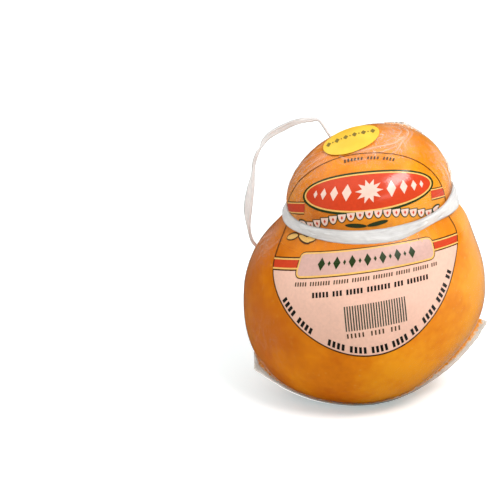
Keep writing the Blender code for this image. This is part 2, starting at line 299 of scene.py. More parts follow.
# %% [markdown]
# ## The hanging loop
#
# The string is a flat plastic tape, folded lengthwise. Its free loop stands up on the left, held by the
# knot behind the head. It is a cord, so its length matters: the route below has the same points as the
# solid's, and the tape is lofted along a smooth curve through them. A loft in code is used and not a
# bevelled curve, because the tape's width and its turn change all along.

# %% The route, and a smooth curve through it
LOOP_ROUTE = (
    (0.0042, 0.0307, 0.0828), (-0.0034, 0.0289, 0.0844), (-0.0088, 0.0260, 0.0915),
    (-0.0130, 0.0263, 0.0974), (-0.0167, 0.0260, 0.0978), (-0.0211, 0.0255, 0.0972),
    (-0.0259, 0.0250, 0.0953), (-0.0327, 0.0240, 0.0912), (-0.0365, 0.0225, 0.0841),
    (-0.0381, 0.0215, 0.0750), (-0.0394, 0.0205, 0.0655), (-0.0390, 0.0202, 0.0572),
    (-0.0372, 0.0222, 0.0507), (-0.0336, 0.0292, 0.0469), (-0.0276, 0.0354, 0.0494),
    (-0.0190, 0.0380, 0.0566), (-0.0094, 0.0362, 0.0660), (0.0008, 0.0327, 0.0760),
)
LOOP_SPACING = 0.45 * MM


def evenly(points, spacing):
    """The same line with points at even steps, and how far along it each one is."""
    reach = np.concatenate(([0.0], np.cumsum(np.linalg.norm(np.diff(points, axis=0), axis=1))))
    count = max(2, round(reach[-1] / spacing) + 1)
    way = np.linspace(0.0, reach[-1], count)
    return np.stack([np.interp(way, reach, points[:, axis]) for axis in range(3)], axis=1), way


def smooth_curve(route, spacing):
    """A smooth curve through a route's own points (Catmull-Rom), with points at even steps."""
    keys = np.array(route, float)
    keys = np.vstack((2.0 * keys[0] - keys[1], keys, 2.0 * keys[-1] - keys[-2]))
    fine = []
    for before, start, end, after in zip(keys, keys[1:], keys[2:], keys[3:]):
        for t in np.linspace(0.0, 1.0, 12, endpoint=False):
            fine.append(0.5 * (2.0 * start + (end - before) * t
                               + (2.0 * before - 5.0 * start + 4.0 * end - after) * t * t
                               + (3.0 * start - before - 3.0 * end + after) * t ** 3))
    fine.append(keys[-2])
    return evenly(np.array(fine), spacing)


loop_path, loop_way = smooth_curve(LOOP_ROUTE, LOOP_SPACING)
LOOP_LENGTH = float(loop_way[-1])
print("loop length", round(LOOP_LENGTH / MM, 1), "mm")

# %% [markdown]
# ## Folded tape
#
# Seen end on, the tape is a flat strip with a few rounded folds on its outer side. The folds wander and
# swell along the tape. They could be pushed in with a texture and a Displace modifier, but a smooth noise
# asked for its height right in the loft keeps the folds running along the tape, whichever way it turns.

# %% How the folds stand up
WANDER_LENGTH = 11.0 * MM       # along the tape
SWELL_LENGTH = 16.0 * MM
WRINKLE_LENGTH = 2.6 * MM
CREASE_SHARPNESS = 5.0


def fold_height(across, way, seed, folds):
    """How high the tape's outer side stands at a place across it, from 0 at its edges to about 1."""
    wander = 0.5 * noise.noise(Vector((way / WANDER_LENGTH, seed, 0.0)))
    swell = noise.noise(Vector(((across + wander) * folds, way / SWELL_LENGTH, seed)))
    crease = 1.0 - min(1.0, abs(swell) * CREASE_SHARPNESS)
    wrinkle = 0.16 * noise.noise(Vector((across * 2.6, way / WRINKLE_LENGTH, seed + 5.0)))
    edge = math.sqrt(max(1.0 - across * across, 0.0))
    return edge ** 0.6 * (0.75 + 0.35 * swell - 0.30 * crease + wrinkle)


middle_fold = [fold_height(0.0, way * MM, 2.0, 1.6) for way in range(40)]
print("folds from", round(min(middle_fold), 2), "to", round(max(middle_fold), 2), "of the thickness")

# %% [markdown]
# ### Lofting the tape
#
# At each point of a path the tape's section is set square to it, and each section is joined to the next.
# The same function makes the loop, the string round the neck and the strands of the knot. It also stores
# a UV map that flows with the tape, so that the finish can run along it.

# %% Loft a folded tape
TAPE_COLUMNS = 17
FLOW_UNIT = 10.0 * MM           # of tape for each unit of the UV map


def tape(name, path, facing, half_widths, thickness, seed, closed=False, folds=1.6):
    """Lofts a folded tape along path. facing is where its outer side looks at each point."""
    count = len(path)
    if closed:
        ahead = np.roll(path, -1, axis=0) - np.roll(path, 1, axis=0)
    else:
        ahead = np.gradient(path, axis=0)
    ahead /= np.linalg.norm(ahead, axis=1, keepdims=True)
    width_way = np.cross(ahead, facing)
    width_way /= np.linalg.norm(width_way, axis=1, keepdims=True)
    out = np.cross(width_way, ahead)
    way = np.concatenate(([0.0], np.cumsum(np.linalg.norm(np.diff(path, axis=0), axis=1))))
    work = bmesh.new()
    flow = work.loops.layers.uv.new("flow")
    rows, marks = [], []
    spread = [math.sin(0.5 * math.pi * (2.0 * j / (TAPE_COLUMNS - 1) - 1.0)) for j in range(TAPE_COLUMNS)]
    for i in range(count):
        row, mark = [], []
        for side, columns in ((1.0, spread), (-1.0, spread[-2:0:-1])):
            for across in columns:
                if side > 0.0:
                    height = thickness * (fold_height(across, way[i], seed, folds) - 0.5)
                else:
                    height = -thickness * 0.5
                place = path[i] + width_way[i] * across * half_widths[i] + out[i] * height
                row.append(work.verts.new(place))
                mark.append((way[i] / FLOW_UNIT, 0.5 + 0.5 * across))
        rows.append(row)
        marks.append(mark)
    around = len(rows[0])
    for i in range(count if closed else count - 1):
        following = (i + 1) % count
        for j in range(around):
            k = (j + 1) % around
            face = work.faces.new((rows[i][j], rows[i][k], rows[following][k], rows[following][j]))
            corners = (marks[i][j], marks[i][k], marks[following][k], marks[following][j])
            for loop, mark in zip(face.loops, corners):
                loop[flow].uv = mark
    if not closed:
        work.faces.new(rows[0])
        work.faces.new(rows[-1])
    bmesh.ops.recalc_face_normals(work, faces=work.faces)
    mesh = bpy.data.meshes.new(name)
    work.to_mesh(mesh)
    work.free()
    piece = bpy.data.objects.new(name, mesh)
    bpy.context.scene.collection.objects.link(piece)
    return piece


print("a tape's section has", 2 * TAPE_COLUMNS - 2, "points")

# %% [markdown]
# ## Helpers for materials
#
# A material is a tree of nodes. In the shader editor each node is dropped and wired by hand, and these
# helpers do the same in one line each: a node with its settings, its values and its wires.

# %% Node helpers
def add_node(tree, kind, inputs=(), **settings):
    """Adds a node, sets its properties, and fills or links its inputs."""
    node = tree.nodes.new(kind)
    for key, value in settings.items():
        setattr(node, key, value)
    for key, value in dict(inputs).items():
        if isinstance(value, bpy.types.NodeSocket):
            tree.links.new(value, node.inputs[key])
        else:
            node.inputs[key].default_value = value
    return node


def new_material(name):
    material = bpy.data.materials.new(name)
    material.use_nodes = True
    return material, material.node_tree, material.node_tree.nodes["Principled BSDF"]


def ramp(tree, factor, stops):
    """A colour ramp: stops are (place, colour)."""
    node = add_node(tree, "ShaderNodeValToRGB", {"Fac": factor})
    elements = node.color_ramp.elements
    while len(elements) < len(stops):
        elements.new(0.5)
    for element, (place, colour) in zip(elements, stops):
        element.position = place
        element.color = (*colour, 1.0)
    return node.outputs["Color"]


# %% [markdown]
# ## String finish
#
# The tape is milky white plastic with a silky shine. Fine fibres run along it, so the noise is stretched
# along the tape's own UV map, which a noise in plain space couldn't follow round the bends. Its two edges
# are painted a little darker, as painted shade. Light goes right through such thin plastic, so it scatters
# some light inside, and a faint painted glow stands in for the light that passes through it.

# %% The string's material
TAPE_TONES = ((0.32, (0.50, 0.49, 0.48)), (0.50, (0.69, 0.68, 0.67)), (0.68, (0.80, 0.79, 0.77)))
PAINTED_EDGE_SHADE = (0.55, 0.54, 0.53)
NO_SHADE = (1.0, 1.0, 1.0)
PAINTED_EDGE_WIDTH = 0.14                # share of the tape's width
FIBRE_STRETCH = (3.0, 26.0, 1.0)
SCATTER_DEPTH = 1.2 * MM


def tape_material():
    material, tree, shader = new_material("milky_tape")
    flow = add_node(tree, "ShaderNodeUVMap", uv_map="flow")
    stretch = add_node(tree, "ShaderNodeMapping", {"Vector": flow.outputs["UV"], "Scale": FIBRE_STRETCH})
    fibres = add_node(tree, "ShaderNodeTexNoise",
                      {"Vector": stretch.outputs["Vector"], "Scale": 1.0, "Detail": 4.0, "Roughness": 0.6})
    place = add_node(tree, "ShaderNodeTexCoord")
    clouds = add_node(tree, "ShaderNodeTexNoise",
                      {"Vector": place.outputs["Object"], "Scale": 110.0, "Detail": 2.0})
    both = add_node(tree, "ShaderNodeMath",
                    {0: fibres.outputs["Fac"], 1: clouds.outputs["Fac"]}, operation='ADD')
    half = add_node(tree, "ShaderNodeMath", {0: both.outputs["Value"], 1: 0.5}, operation='MULTIPLY')
    tone = ramp(tree, half.outputs["Value"], TAPE_TONES)
    across = add_node(tree, "ShaderNodeSeparateXYZ", {"Vector": flow.outputs["UV"]}).outputs["Y"]
    # Painted shade: the tape's two edges are darkened in its colour.
    painted_edge_shade = ramp(tree, across, ((0.0, PAINTED_EDGE_SHADE), (PAINTED_EDGE_WIDTH, NO_SHADE), (1.0 - PAINTED_EDGE_WIDTH, NO_SHADE),
                               (1.0, PAINTED_EDGE_SHADE)))
    mixed = add_node(tree, "ShaderNodeMix", {"Factor": 1.0, "A": tone, "B": painted_edge_shade},
                     data_type='RGBA', blend_type='MULTIPLY')
    colour = mixed.outputs["Result"]
    bump = add_node(tree, "ShaderNodeBump",
                    {"Height": fibres.outputs["Fac"], "Strength": 0.5, "Distance": 0.0001})
    tree.links.new(colour, shader.inputs["Base Color"])
    tree.links.new(bump.outputs["Normal"], shader.inputs["Normal"])
    shader.inputs["Roughness"].default_value = 0.42
    shader.inputs["Subsurface Weight"].default_value = 0.5
    shader.inputs["Subsurface Radius"].default_value = (1.0, 1.0, 1.0)
    shader.inputs["Subsurface Scale"].default_value = SCATTER_DEPTH
    # A faint painted glow: the tape gives off light of its own, in place of the light that passes through it.
    shader.inputs["Emission Color"].default_value = (0.95, 1.0, 1.0, 1.0)
    shader.inputs["Emission Strength"].default_value = 0.09
    return material


milky_tape = tape_material()
print(milky_tape.name, "has", len(milky_tape.node_tree.nodes), "nodes")

# %% [markdown]
# ## Knot
#
# The knot is hidden behind the head: a small three-lobed overhand knot of the same tape, bunched to a
# narrow band. A knot is hard to draw point by point without the strands running into each other, so its
# path is the well-known formula for such a knot, tipped back against the head.

# %% Tie the knot
KNOT_PLACE = np.array((4.65, 30.95, 78.15)) * MM
KNOT_LOOKS_UP = math.radians(35.0)
KNOT_TIP = KNOT_LOOKS_UP - math.pi / 2.0
KNOT_POINTS = 240
KNOT_SIZE = 1.2 * MM
KNOT_RISE = 1.4
KNOT_HALF_WIDTH = 0.78 * MM
KNOT_TAPE_THICKNESS = 0.75 * MM


def knot_point(t):
    x = math.sin(t) + 2.0 * math.sin(2.0 * t)
    y = math.cos(t) - 2.0 * math.cos(2.0 * t)
    z = -KNOT_RISE * math.sin(3.0 * t)
    back = y * math.cos(KNOT_TIP) - z * math.sin(KNOT_TIP)
    up = y * math.sin(KNOT_TIP) + z * math.cos(KNOT_TIP)
    return KNOT_PLACE + np.array((x, back, up)) * KNOT_SIZE


turns = np.linspace(0.0, 2.0 * math.pi, KNOT_POINTS, endpoint=False)
knot_path = np.array([knot_point(t) for t in turns])
knot_facing = np.tile((0.0, math.cos(KNOT_LOOKS_UP), math.sin(KNOT_LOOKS_UP)), (KNOT_POINTS, 1))
knot = tape("string_knot", knot_path, knot_facing, np.full(KNOT_POINTS, KNOT_HALF_WIDTH),
            KNOT_TAPE_THICKNESS, 5.0, closed=True)
finish_piece(knot, milky_tape)
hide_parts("knot")

# %% [markdown]
# ## Loop
#
# The free loop's tape is broad and flat on the left, and narrow where it turns over on itself, at the top
# and half way down. Real tape does this by itself when it is bent, but a cloth simulation would not stop
# at the shape in the photo, so width and turn are given at a few places and smoothed in between.

# %% Hang the loop
LOOP_TAPE_THICKNESS = 0.7 * MM
SMOOTHED_OVER = 9               # points of the path, an odd number
# share of the length walked, half width in mm, turn about the tape's own line in degrees
LOOP_SHAPE = (
    (0.00, 0.70, 60.0), (0.08, 0.60, 40.0), (0.137, 0.52, 35.0), (0.160, 0.50, 30.0),
    (0.170, 0.35, 30.0), (0.182, 0.85, 10.0), (0.20, 0.95, 5.0), (0.247, 1.25, -5.0),
    (0.273, 1.40, -8.0), (0.30, 1.25, -5.0), (0.330, 0.90, 10.0), (0.343, 0.38, 40.0),
    (0.355, 0.75, -38.0), (0.378, 1.00, -42.0), (0.392, 0.80, -35.0), (0.404, 0.60, 0.0),
    (0.42, 0.80, 12.0), (0.446, 1.35, 8.0), (0.479, 1.65, 3.0), (0.51, 1.60, 0.0),
    (0.53, 1.15, -8.0), (0.557, 0.65, -20.0), (0.60, 0.65, -30.0), (0.68, 0.70, -50.0),
    (0.90, 0.70, -70.0), (1.00, 0.70, -60.0),
)
shares, loop_halves, loop_turns = np.array(LOOP_SHAPE).T
walk_share = loop_way / LOOP_LENGTH
loop_half = np.interp(walk_share, shares, loop_halves) * MM
loop_turn = np.radians(np.interp(walk_share, shares, loop_turns))
kernel = np.hanning(SMOOTHED_OVER) / np.hanning(SMOOTHED_OVER).sum()
loop_half = np.convolve(np.pad(loop_half, SMOOTHED_OVER // 2, mode='edge'), kernel, mode='valid')
loop_turn = np.convolve(np.pad(loop_turn, SMOOTHED_OVER // 2, mode='edge'), kernel, mode='valid')
to_front = np.array((0.0, -1.0, 0.0))
loop_ahead = np.gradient(loop_path, axis=0)
loop_ahead /= np.linalg.norm(loop_ahead, axis=1, keepdims=True)
sideways = np.cross(loop_ahead, to_front)
sideways /= np.linalg.norm(sideways, axis=1, keepdims=True)
loop_facing = (np.cos(loop_turn)[:, None] * np.cross(sideways, loop_ahead)
               + np.sin(loop_turn)[:, None] * sideways)
loop = tape("hanging_loop_tape", loop_path, loop_facing, loop_half, LOOP_TAPE_THICKNESS, 2.0)
finish_piece(loop, milky_tape)
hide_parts("hanging_loop")
print("loop tape", round(LOOP_LENGTH / MM, 1), "mm long")

# %% [markdown]
# ## String round the neck
#
# The same tape lies flat in the groove between body and head, broad at the front and narrowing to the
# back, where the knot pulls it together. At the two sides it is spread wider, stands off a little and
# looks slightly up. It follows the neck's own slant: a torus could be bent to it by hand, but the skin
# function already knows the way, so the path is read from there.

# %% Lay the string in the groove
STRING_HALF_FRONT = 2.5 * MM
STRING_HALF_BACK = 1.55 * MM
STRING_NARROWING = 3            # how soon it narrows to the back
STRING_LIFT = 0.75 * MM
STRING_THICKNESS = 0.8 * MM
STRING_FOLDS = 2.6
STRING_POINTS = 420
LOOKS_UP = np.array((0.0, 0.0, 0.4))

string_angle = np.linspace(-math.pi, math.pi, STRING_POINTS, endpoint=False)
string_degrees = np.degrees(string_angle)
at_right = bell(string_degrees + 6.0, 24.0)
at_left = bell(np.abs(string_degrees) - 172.0, 26.0)
at_front = bell(string_degrees + 85.0, 26.0)
right_of_front = bell(string_degrees + 42.0, 22.0)
front_share = (0.5 - 0.5 * np.sin(string_angle)) ** STRING_NARROWING
string_half = STRING_HALF_BACK + (STRING_HALF_FRONT - STRING_HALF_BACK) * front_share
string_half += (2.0 * at_right + 0.2 * at_left + 0.45 * at_front) * MM
string_half *= 1.0 + 0.06 * np.sin(5.0 * string_angle + 0.7) * np.sin(3.0 * string_angle)
string_rise = (3.0 * at_right + 1.7 * right_of_front - 0.3 * at_left) * MM
string_lift = STRING_LIFT + (1.1 * at_right + 0.6 * at_left) * MM
string_path, string_facing = skin(string_angle, NECK_WALK + string_rise, string_lift)
string_facing += (at_right + at_left)[:, None] * LOOKS_UP
string = tape("neck_tape", string_path, string_facing, string_half, STRING_THICKNESS, 8.0,
              closed=True, folds=STRING_FOLDS)
finish_piece(string, milky_tape)
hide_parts("neck_string")

# %% [markdown]
# ## Folds of the film
#
# The bag was shrunk on, and where there was too much film it lies in sharp little folds: a bundle of
# them at the crown beside the sticker, and some down the sides and back of head and shoulder. They could be
# sculpted with the crease brush. Here each fold is a line on the skin with a height, because the material
# has to know the same lines, to whiten their crests. Crown folds are given in mm from the crown's middle,
# seen from above, side folds by angle and way walked.

# %% Where the folds are
CROWN_FOLDS = (                 # points (x, y) in mm round the crown's middle, then height in mm
    (((7.2, 8.7), (11.4, 1.3), (8.3, -8.4), (6.4, -12.8), (2.0, -16.5)), 0.55),
    (((9.2, 8.0), (13.0, 1.8), (10.2, -7.6), (8.6, -12.6)), 0.30),
    (((-9.7, -12.3), (-2.4, -11.0), (5.0, -9.0), (9.0, -4.0), (11.0, 2.0)), 0.40),
    (((-12.3, -9.9), (-6.8, -11.2), (1.0, -10.2), (6.0, -7.4), (9.4, -2.4)), 0.30),
    (((-6.0, -14.6), (1.0, -13.2), (6.0, -10.4), (10.0, -5.0)), 0.30),
    (((1.8, -7.1), (5.4, -5.8), (7.4, -2.8), (8.6, 1.2), (7.0, 5.0)), 0.35),
    (((3.4, -3.6), (5.6, -1.0), (5.2, 2.2), (3.0, 4.8)), 0.30),
    (((1.1, 4.0), (4.2, 5.2), (7.4, 5.0), (10.6, 5.8)), 0.30),
    (((2.6, 1.0), (6.6, 0.4), (10.4, -1.2)), 0.25),
    (((4.0, -2.2), (7.6, -4.4), (9.8, -8.6), (10.4, -13.0)), 0.28),
    (((0.6, 7.6), (5.0, 9.0), (8.8, 11.6), (10.4, 15.2)), 0.30),
    (((-15.0, -7.0), (-12.4, -12.6), (-7.4, -15.4), (0.0, -16.0)), 0.25),
)
SIDE_FOLDS = (                  # points (angle in degrees, way walked in mm), then height in mm
    (((-150.0, 133.0), (-160.0, 127.0), (-164.0, 120.0), (-160.0, 112.0)), 0.25),
    (((-158.0, 134.0), (-167.0, 127.0), (-171.0, 119.0), (-169.0, 110.0)), 0.30),
    (((-166.0, 131.0), (-176.0, 123.0), (-178.0, 115.0), (-176.0, 107.5)), 0.30),
    (((-170.0, 134.0), (-184.0, 125.0), (-187.0, 116.0), (-185.0, 106.5)), 0.40),
    (((-172.0, 98.0), (-176.0, 93.0), (-179.0, 87.0), (-178.0, 80.0)), 0.25),
    (((-160.0, 99.0), (-164.0, 94.0), (-168.0, 88.0), (-170.0, 82.0)), 0.20),
    (((-184.0, 99.0), (-186.0, 92.0), (-188.0, 84.0), (-186.0, 76.0)), 0.30),
    (((-20.0, 128.0), (-15.0, 120.0), (-14.0, 113.0), (-16.0, 106.0)), 0.50),
    (((-10.0, 128.0), (-6.0, 120.0), (-4.0, 113.0), (-5.0, 106.0)), 0.85),
    (((2.0, 126.0), (5.0, 118.0), (7.0, 111.0), (5.0, 106.0)), 0.70),
    (((-30.0, 128.0), (-22.0, 121.0), (-18.0, 114.0), (-19.0, 108.0)), 0.15),
    (((24.0, 126.0), (28.0, 118.0), (26.0, 110.0)), 0.30),
    (((60.0, 128.0), (66.0, 118.0), (63.0, 108.0)), 0.30),
    (((100.0, 132.0), (104.0, 120.0), (100.0, 109.0)), 0.35),
    (((140.0, 128.0), (146.0, 119.0), (143.0, 109.0)), 0.30),
    (((70.0, 97.0), (74.0, 88.0), (72.0, 76.0)), 0.30),
    (((118.0, 97.0), (122.0, 86.0), (120.0, 74.0)), 0.30),
    (((8.0, 97.0), (6.0, 90.0), (7.0, 82.0)), 0.22),
)
print(len(CROWN_FOLDS), "folds at the crown,", len(SIDE_FOLDS), "down the sides")

# %% [markdown]
# ### Drawing the folds on the skin
#
# A fold of real film never comes alone, so beside each one there are two finer ones, strewn about it by
# a seeded draw. Each line is smoothed and laid on the skin.

# %% Draw the folds
FOLD_HALF_WIDTH = 0.38 * MM
FINE_FOLDS = 2                  # finer ones beside each fold
CROWN_STRAY = 1.1               # how far they stray, in mm
SIDE_STRAY = (2.2, 1.5)         # in degrees and mm
FOLD_SPACING = 0.5 * MM


def fold_lines():
    """Each fold as a fine line of points on the skin, with its height and half width."""
    lines = []
    rng = np.random.default_rng(3)
    for routes, seen_from_above in ((CROWN_FOLDS, True), (SIDE_FOLDS, False)):
        for route, height in routes:
            for k in range(1 + FINE_FOLDS):
                stray = rng.normal(0.0, 1.0, (len(route), 2)) * min(k, 1)
                thin = 1.0 if k == 0 else rng.uniform(0.3, 0.6)
                if seen_from_above:
                    x, y = (np.array(route) + stray * CROWN_STRAY).T * MM
                    angle, walk = np.arctan2(y, x), OUTLINE - np.hypot(x, y)
                else:
                    degrees, walk = (np.array(route) + stray * SIDE_STRAY).T
                    angle, walk = np.radians(degrees), walk * MM
                points, _ = skin(angle, walk)
                half_width = FOLD_HALF_WIDTH * (0.6 + 0.4 * thin)
                lines.append((smooth_curve(points, FOLD_SPACING)[0], height * thin * MM, half_width))
    return lines


lines = fold_lines()
print(len(lines), "folds")

# %% [markdown]
# ### Where the seam is
#
# The bag is closed by a heat-sealed seam, a low wall of film that runs under the cheese from side to
# side in a slanted plane. It is described as seen from the front: for each angle below the right-hand
# direction, how tall it is and how far its plane is tilted. The film nearby has to know it too, because
# the seam pulls it up.

# %% Where the seam is
SEAM_SHAPE = (                  # degrees below +X, how far it stands out in mm, its tilt in degrees
    (18.5, 2.90, 14.0), (24.0, 2.75, 14.0), (33.0, 2.60, 14.0), (43.0, 2.45, 14.5), (50.0, 2.00, 16.0),
    (58.0, 1.35, 17.5), (69.0, 0.85, 19.5), (90.0, 0.70, 21.0), (111.0, 0.85, 19.5), (120.0, 1.05, 17.5),
    (129.0, 1.40, 15.5), (133.0, 1.75, 15.0), (136.0, 2.20, 14.5), (139.3, 3.10, 14.0), (142.5, 1.10, 14.0),
    (145.0, 0.20, 14.0),
)


def by_seam(points):
    """Where points are round the seam, in degrees below +X, and how far before its plane."""
    away = points - TO_ORIGIN
    degrees, _, tilts = np.array(SEAM_SHAPE).T
    below = np.degrees(np.arctan2(-away[:, 2], away[:, 0]))
    tilt = np.radians(np.interp(below, degrees, tilts))
    return below, away[:, 2] * np.sin(tilt) - away[:, 1] * np.cos(tilt)


print("the seam runs from", SEAM_SHAPE[0][0], "to", SEAM_SHAPE[-1][0], "degrees below +X")

# %% [markdown]
# ### How far the film stands off
#
# The film rises by a bell curve across each fold's line, with a broad skirt under a narrow crest. It is
# also gathered in short puckers all round the neck, where the string ties it in, and pulled up to the
# seam. One function gives this height and a crease value for the material, so that shape and finish
# always agree. The crease value also holds a painted glint, a pale line just before the seam.

# %% Height of the film's folds, and how much it is creased
SEAM_PULL = 0.2                 # share of the seam's height that the film beside it is lifted by
SEAM_FADE = 9.0                 # degrees past the seam's ends until the film lies flat again
SEAM_REACH = 2.2 * MM
SEAM_GLINT = 2.6 * MM           # a pale line runs this far before the seam
SEAM_GLINT_HALF_WIDTH = 0.5 * MM
FULL_GLINT_FROM = 1.5 * MM      # where the seam stands out this much
FOLD_BOX = 3.0 * MM             # how far from a fold its height is worked out
SKIRT_WIDTH = 3.2               # of a fold's half width
SKIRT_SHARE = 0.25              # of a fold's height
WHITE_FROM = 0.4 * MM           # a fold this high has a wholly white crest
PUCKERS = 46
PUCKER_HEIGHT = 0.18 * MM
PUCKER_REACH = 3.8 * MM


def neck_puckers(angle, walk):
    """How strongly the film is puckered by the string, 0 to 1."""
    wander = 1.3 * np.sin(3.0 * angle + 0.4) + 0.8 * np.sin(7.0 * angle)
    pucker = np.maximum(np.sin(PUCKERS * angle + wander), 0.0) ** 3
    pucker *= 0.55 + 0.45 * np.sin(5.0 * angle + 1.0)
    return pucker * bell(walk - NECK_WALK, PUCKER_REACH)


def film_relief(points, angle, walk):
    """Height of the film's folds above its smooth lie at points on the skin, and a crease mask 0 to 1."""
    seam_degrees, seam_tall, _ = np.array(SEAM_SHAPE).T
    round_seam, off_plane = by_seam(points)
    ends = (seam_degrees[0] - SEAM_FADE, *seam_degrees, seam_degrees[-1] + SEAM_FADE)
    pulled = np.interp(round_seam, ends, (0.0, *seam_tall, 0.0), left=0.0, right=0.0) * MM
    height = SEAM_PULL * pulled * np.exp(-np.abs(off_plane) / SEAM_REACH)
    # A painted glint: a pale line is whitened into the crease mask just before the seam.
    crease = 0.5 * bell(off_plane - SEAM_GLINT, SEAM_GLINT_HALF_WIDTH)
    crease *= np.minimum(pulled / FULL_GLINT_FROM, 1.0)
    for line, top, half_width in lines:
        low, high = line.min(axis=0) - FOLD_BOX, line.max(axis=0) + FOLD_BOX
        near = np.all((points > low) & (points < high), axis=1)
        if not near.any():
            continue
        gaps = points[near][:, None, :] - line[None, :, :]
        distance = np.linalg.norm(gaps, axis=2)
        closest = distance.argmin(axis=1)
        taper = np.sin(math.pi * (closest + 0.5) / len(line)) ** 0.6
        across = bell(distance.min(axis=1), half_width) * taper
        skirt = bell(distance.min(axis=1), SKIRT_WIDTH * half_width) * taper
        crest_and_skirt = (1.0 - SKIRT_SHARE) * across + SKIRT_SHARE * skirt
        height[near] = np.maximum(height[near], top * crest_and_skirt)
        crease[near] = np.maximum(crease[near], across * min(1.0, top / WHITE_FROM))
    pucker = neck_puckers(angle, walk)
    return height + PUCKER_HEIGHT * pucker, np.maximum(crease, 0.3 * pucker)


print(PUCKERS, "puckers round the neck")

# %% [markdown]
# ## Cheese
#
# The cheese is a ball of rings and segments, an ordinary UV sphere, whose vertices are each moved to
# their own place on the form, the rings closer together towards the crown. A turned profile would have
# to be made uneven afterwards. It sits a fifth of a millimetre inside the solid's surface, which is the
# bag's, and takes up a third of the film's folds, because the film clings to it.

# %% A ball brought to the form
CHEESE_SEGMENTS = 160
CHEESE_RINGS = 130
CHEESE_TAKES = 0.35             # share of the film's folds that the cheese follows
RING_CROWDING = 1.35
FILM_INSET = 0.10 * MM
CHEESE_INSET = 0.20 * MM


def ball_places(piece):
    """For each vertex of a unit ball, its angle and its way walked along the form's outline."""
    x, y, z = coordinates(piece).T
    share = 1.0 - np.arccos(np.clip(z, -1.0, 1.0)) / math.pi
    return np.arctan2(y, x), OUTLINE * (1.0 - (1.0 - share) ** RING_CROWDING)


def rest_on_floor(points, height):
    points[:, 2] = np.maximum(points[:, 2], height)
    return points


bpy.ops.mesh.primitive_uv_sphere_add(segments=CHEESE_SEGMENTS, ring_count=CHEESE_RINGS, radius=1.0)
cheese = bpy.context.object
cheese.name = cheese.data.name = "cheese"
angle, walk = ball_places(cheese)
points, _ = skin(angle, walk)
relief, _ = film_relief(points, angle, walk)
points, _ = skin(angle, walk, CHEESE_TAKES * relief - CHEESE_INSET)
move_vertices(cheese, rest_on_floor(points, CHEESE_INSET))
print("cheese", len(cheese.data.polygons), "faces")

# %% [markdown]
# ## Dull beside the string
#
# Where the string draws the bag in, the film is finely wrinkled and shines less, over the bare rind and
# over the print alike. Several materials need this, so it is a node group, made once. It reads how near
# the string is from a value stored in each mesh, because a shader can't measure that by itself.

# %% A group's frame, and the dulling group
DULL_REACH = (5.0 * MM, 13.0 * MM)      # wholly dull nearer than the first, not at all past the second


def inside_group(name, inputs, outputs):
    """A new node group with float inputs (or colour, for the name Color), and its entry node."""
    group = bpy.data.node_groups.new(name, 'ShaderNodeTree')
    for side, names in (('INPUT', inputs), ('OUTPUT', outputs)):
        for label in names:
            kind = 'NodeSocketColor' if label == "Color" else 'NodeSocketFloat'
            group.interface.new_socket(label, in_out=side, socket_type=kind)
    return group, add_node(group, "NodeGroupInput")


def drawn_in(walk):
    """1 where the string draws the film into fine wrinkles, and 0 away from it."""
    return 1.0 - ease(np.abs(walk - NECK_WALK), *DULL_REACH)


def dulling_group():
    """Roughness that is raised where the stored value drawn_in is high."""
    group, entry = inside_group("neck_dulling", ("Shiny", "Dull"), ("Roughness",))
    drawn = add_node(group, "ShaderNodeAttribute", attribute_name="drawn_in").outputs["Fac"]
    rough = add_node(group, "ShaderNodeMapRange",
                     {"Value": drawn, "To Min": entry.outputs["Shiny"], "To Max": entry.outputs["Dull"]})
    add_node(group, "NodeGroupOutput", {"Roughness": rough.outputs["Result"]})
    return group


neck_dulling = dulling_group()


def dull_at_neck(tree, shader, shiny, dull):
    dulling = add_node(tree, "ShaderNodeGroup", node_tree=neck_dulling)
    dulling.inputs["Shiny"].default_value = shiny
    dulling.inputs["Dull"].default_value = dull
    tree.links.new(dulling.outputs["Roughness"], shader.inputs["Roughness"])


print(neck_dulling.name, "has", len(neck_dulling.nodes), "nodes")

# %% [markdown]
# ## Smoked rind
#
# The smoked rind is orange gold, with broad clouds, a fine mottle and a few faint specks. Its tones are
# painted browner on the left and lighter to the right: painted shade and light, for the light that comes
# from the right. The colour could be painted on by hand, but noise in the object's own space covers every
# side and has no seams. Seen through its tight film the rind is smooth and glossy.

# %% Finish the cheese
RIND_TONES = ((0.43, (0.63, 0.152, 0.0012)), (0.61, (0.77, 0.225, 0.0020)), (0.78, (0.87, 0.330, 0.0070)))
SPECK_TONE = (0.78, 0.36, 0.05, 1.0)
PAINTED_LIGHT_TO_RIGHT = 3.4          # of the tones' scale, for each metre
MOTTLE_SHARE = 0.22
RIND_ROUGHNESS = (0.15, 0.42)   # away from the string, and beside it
UNDER_FILM_SHINE = 0.36


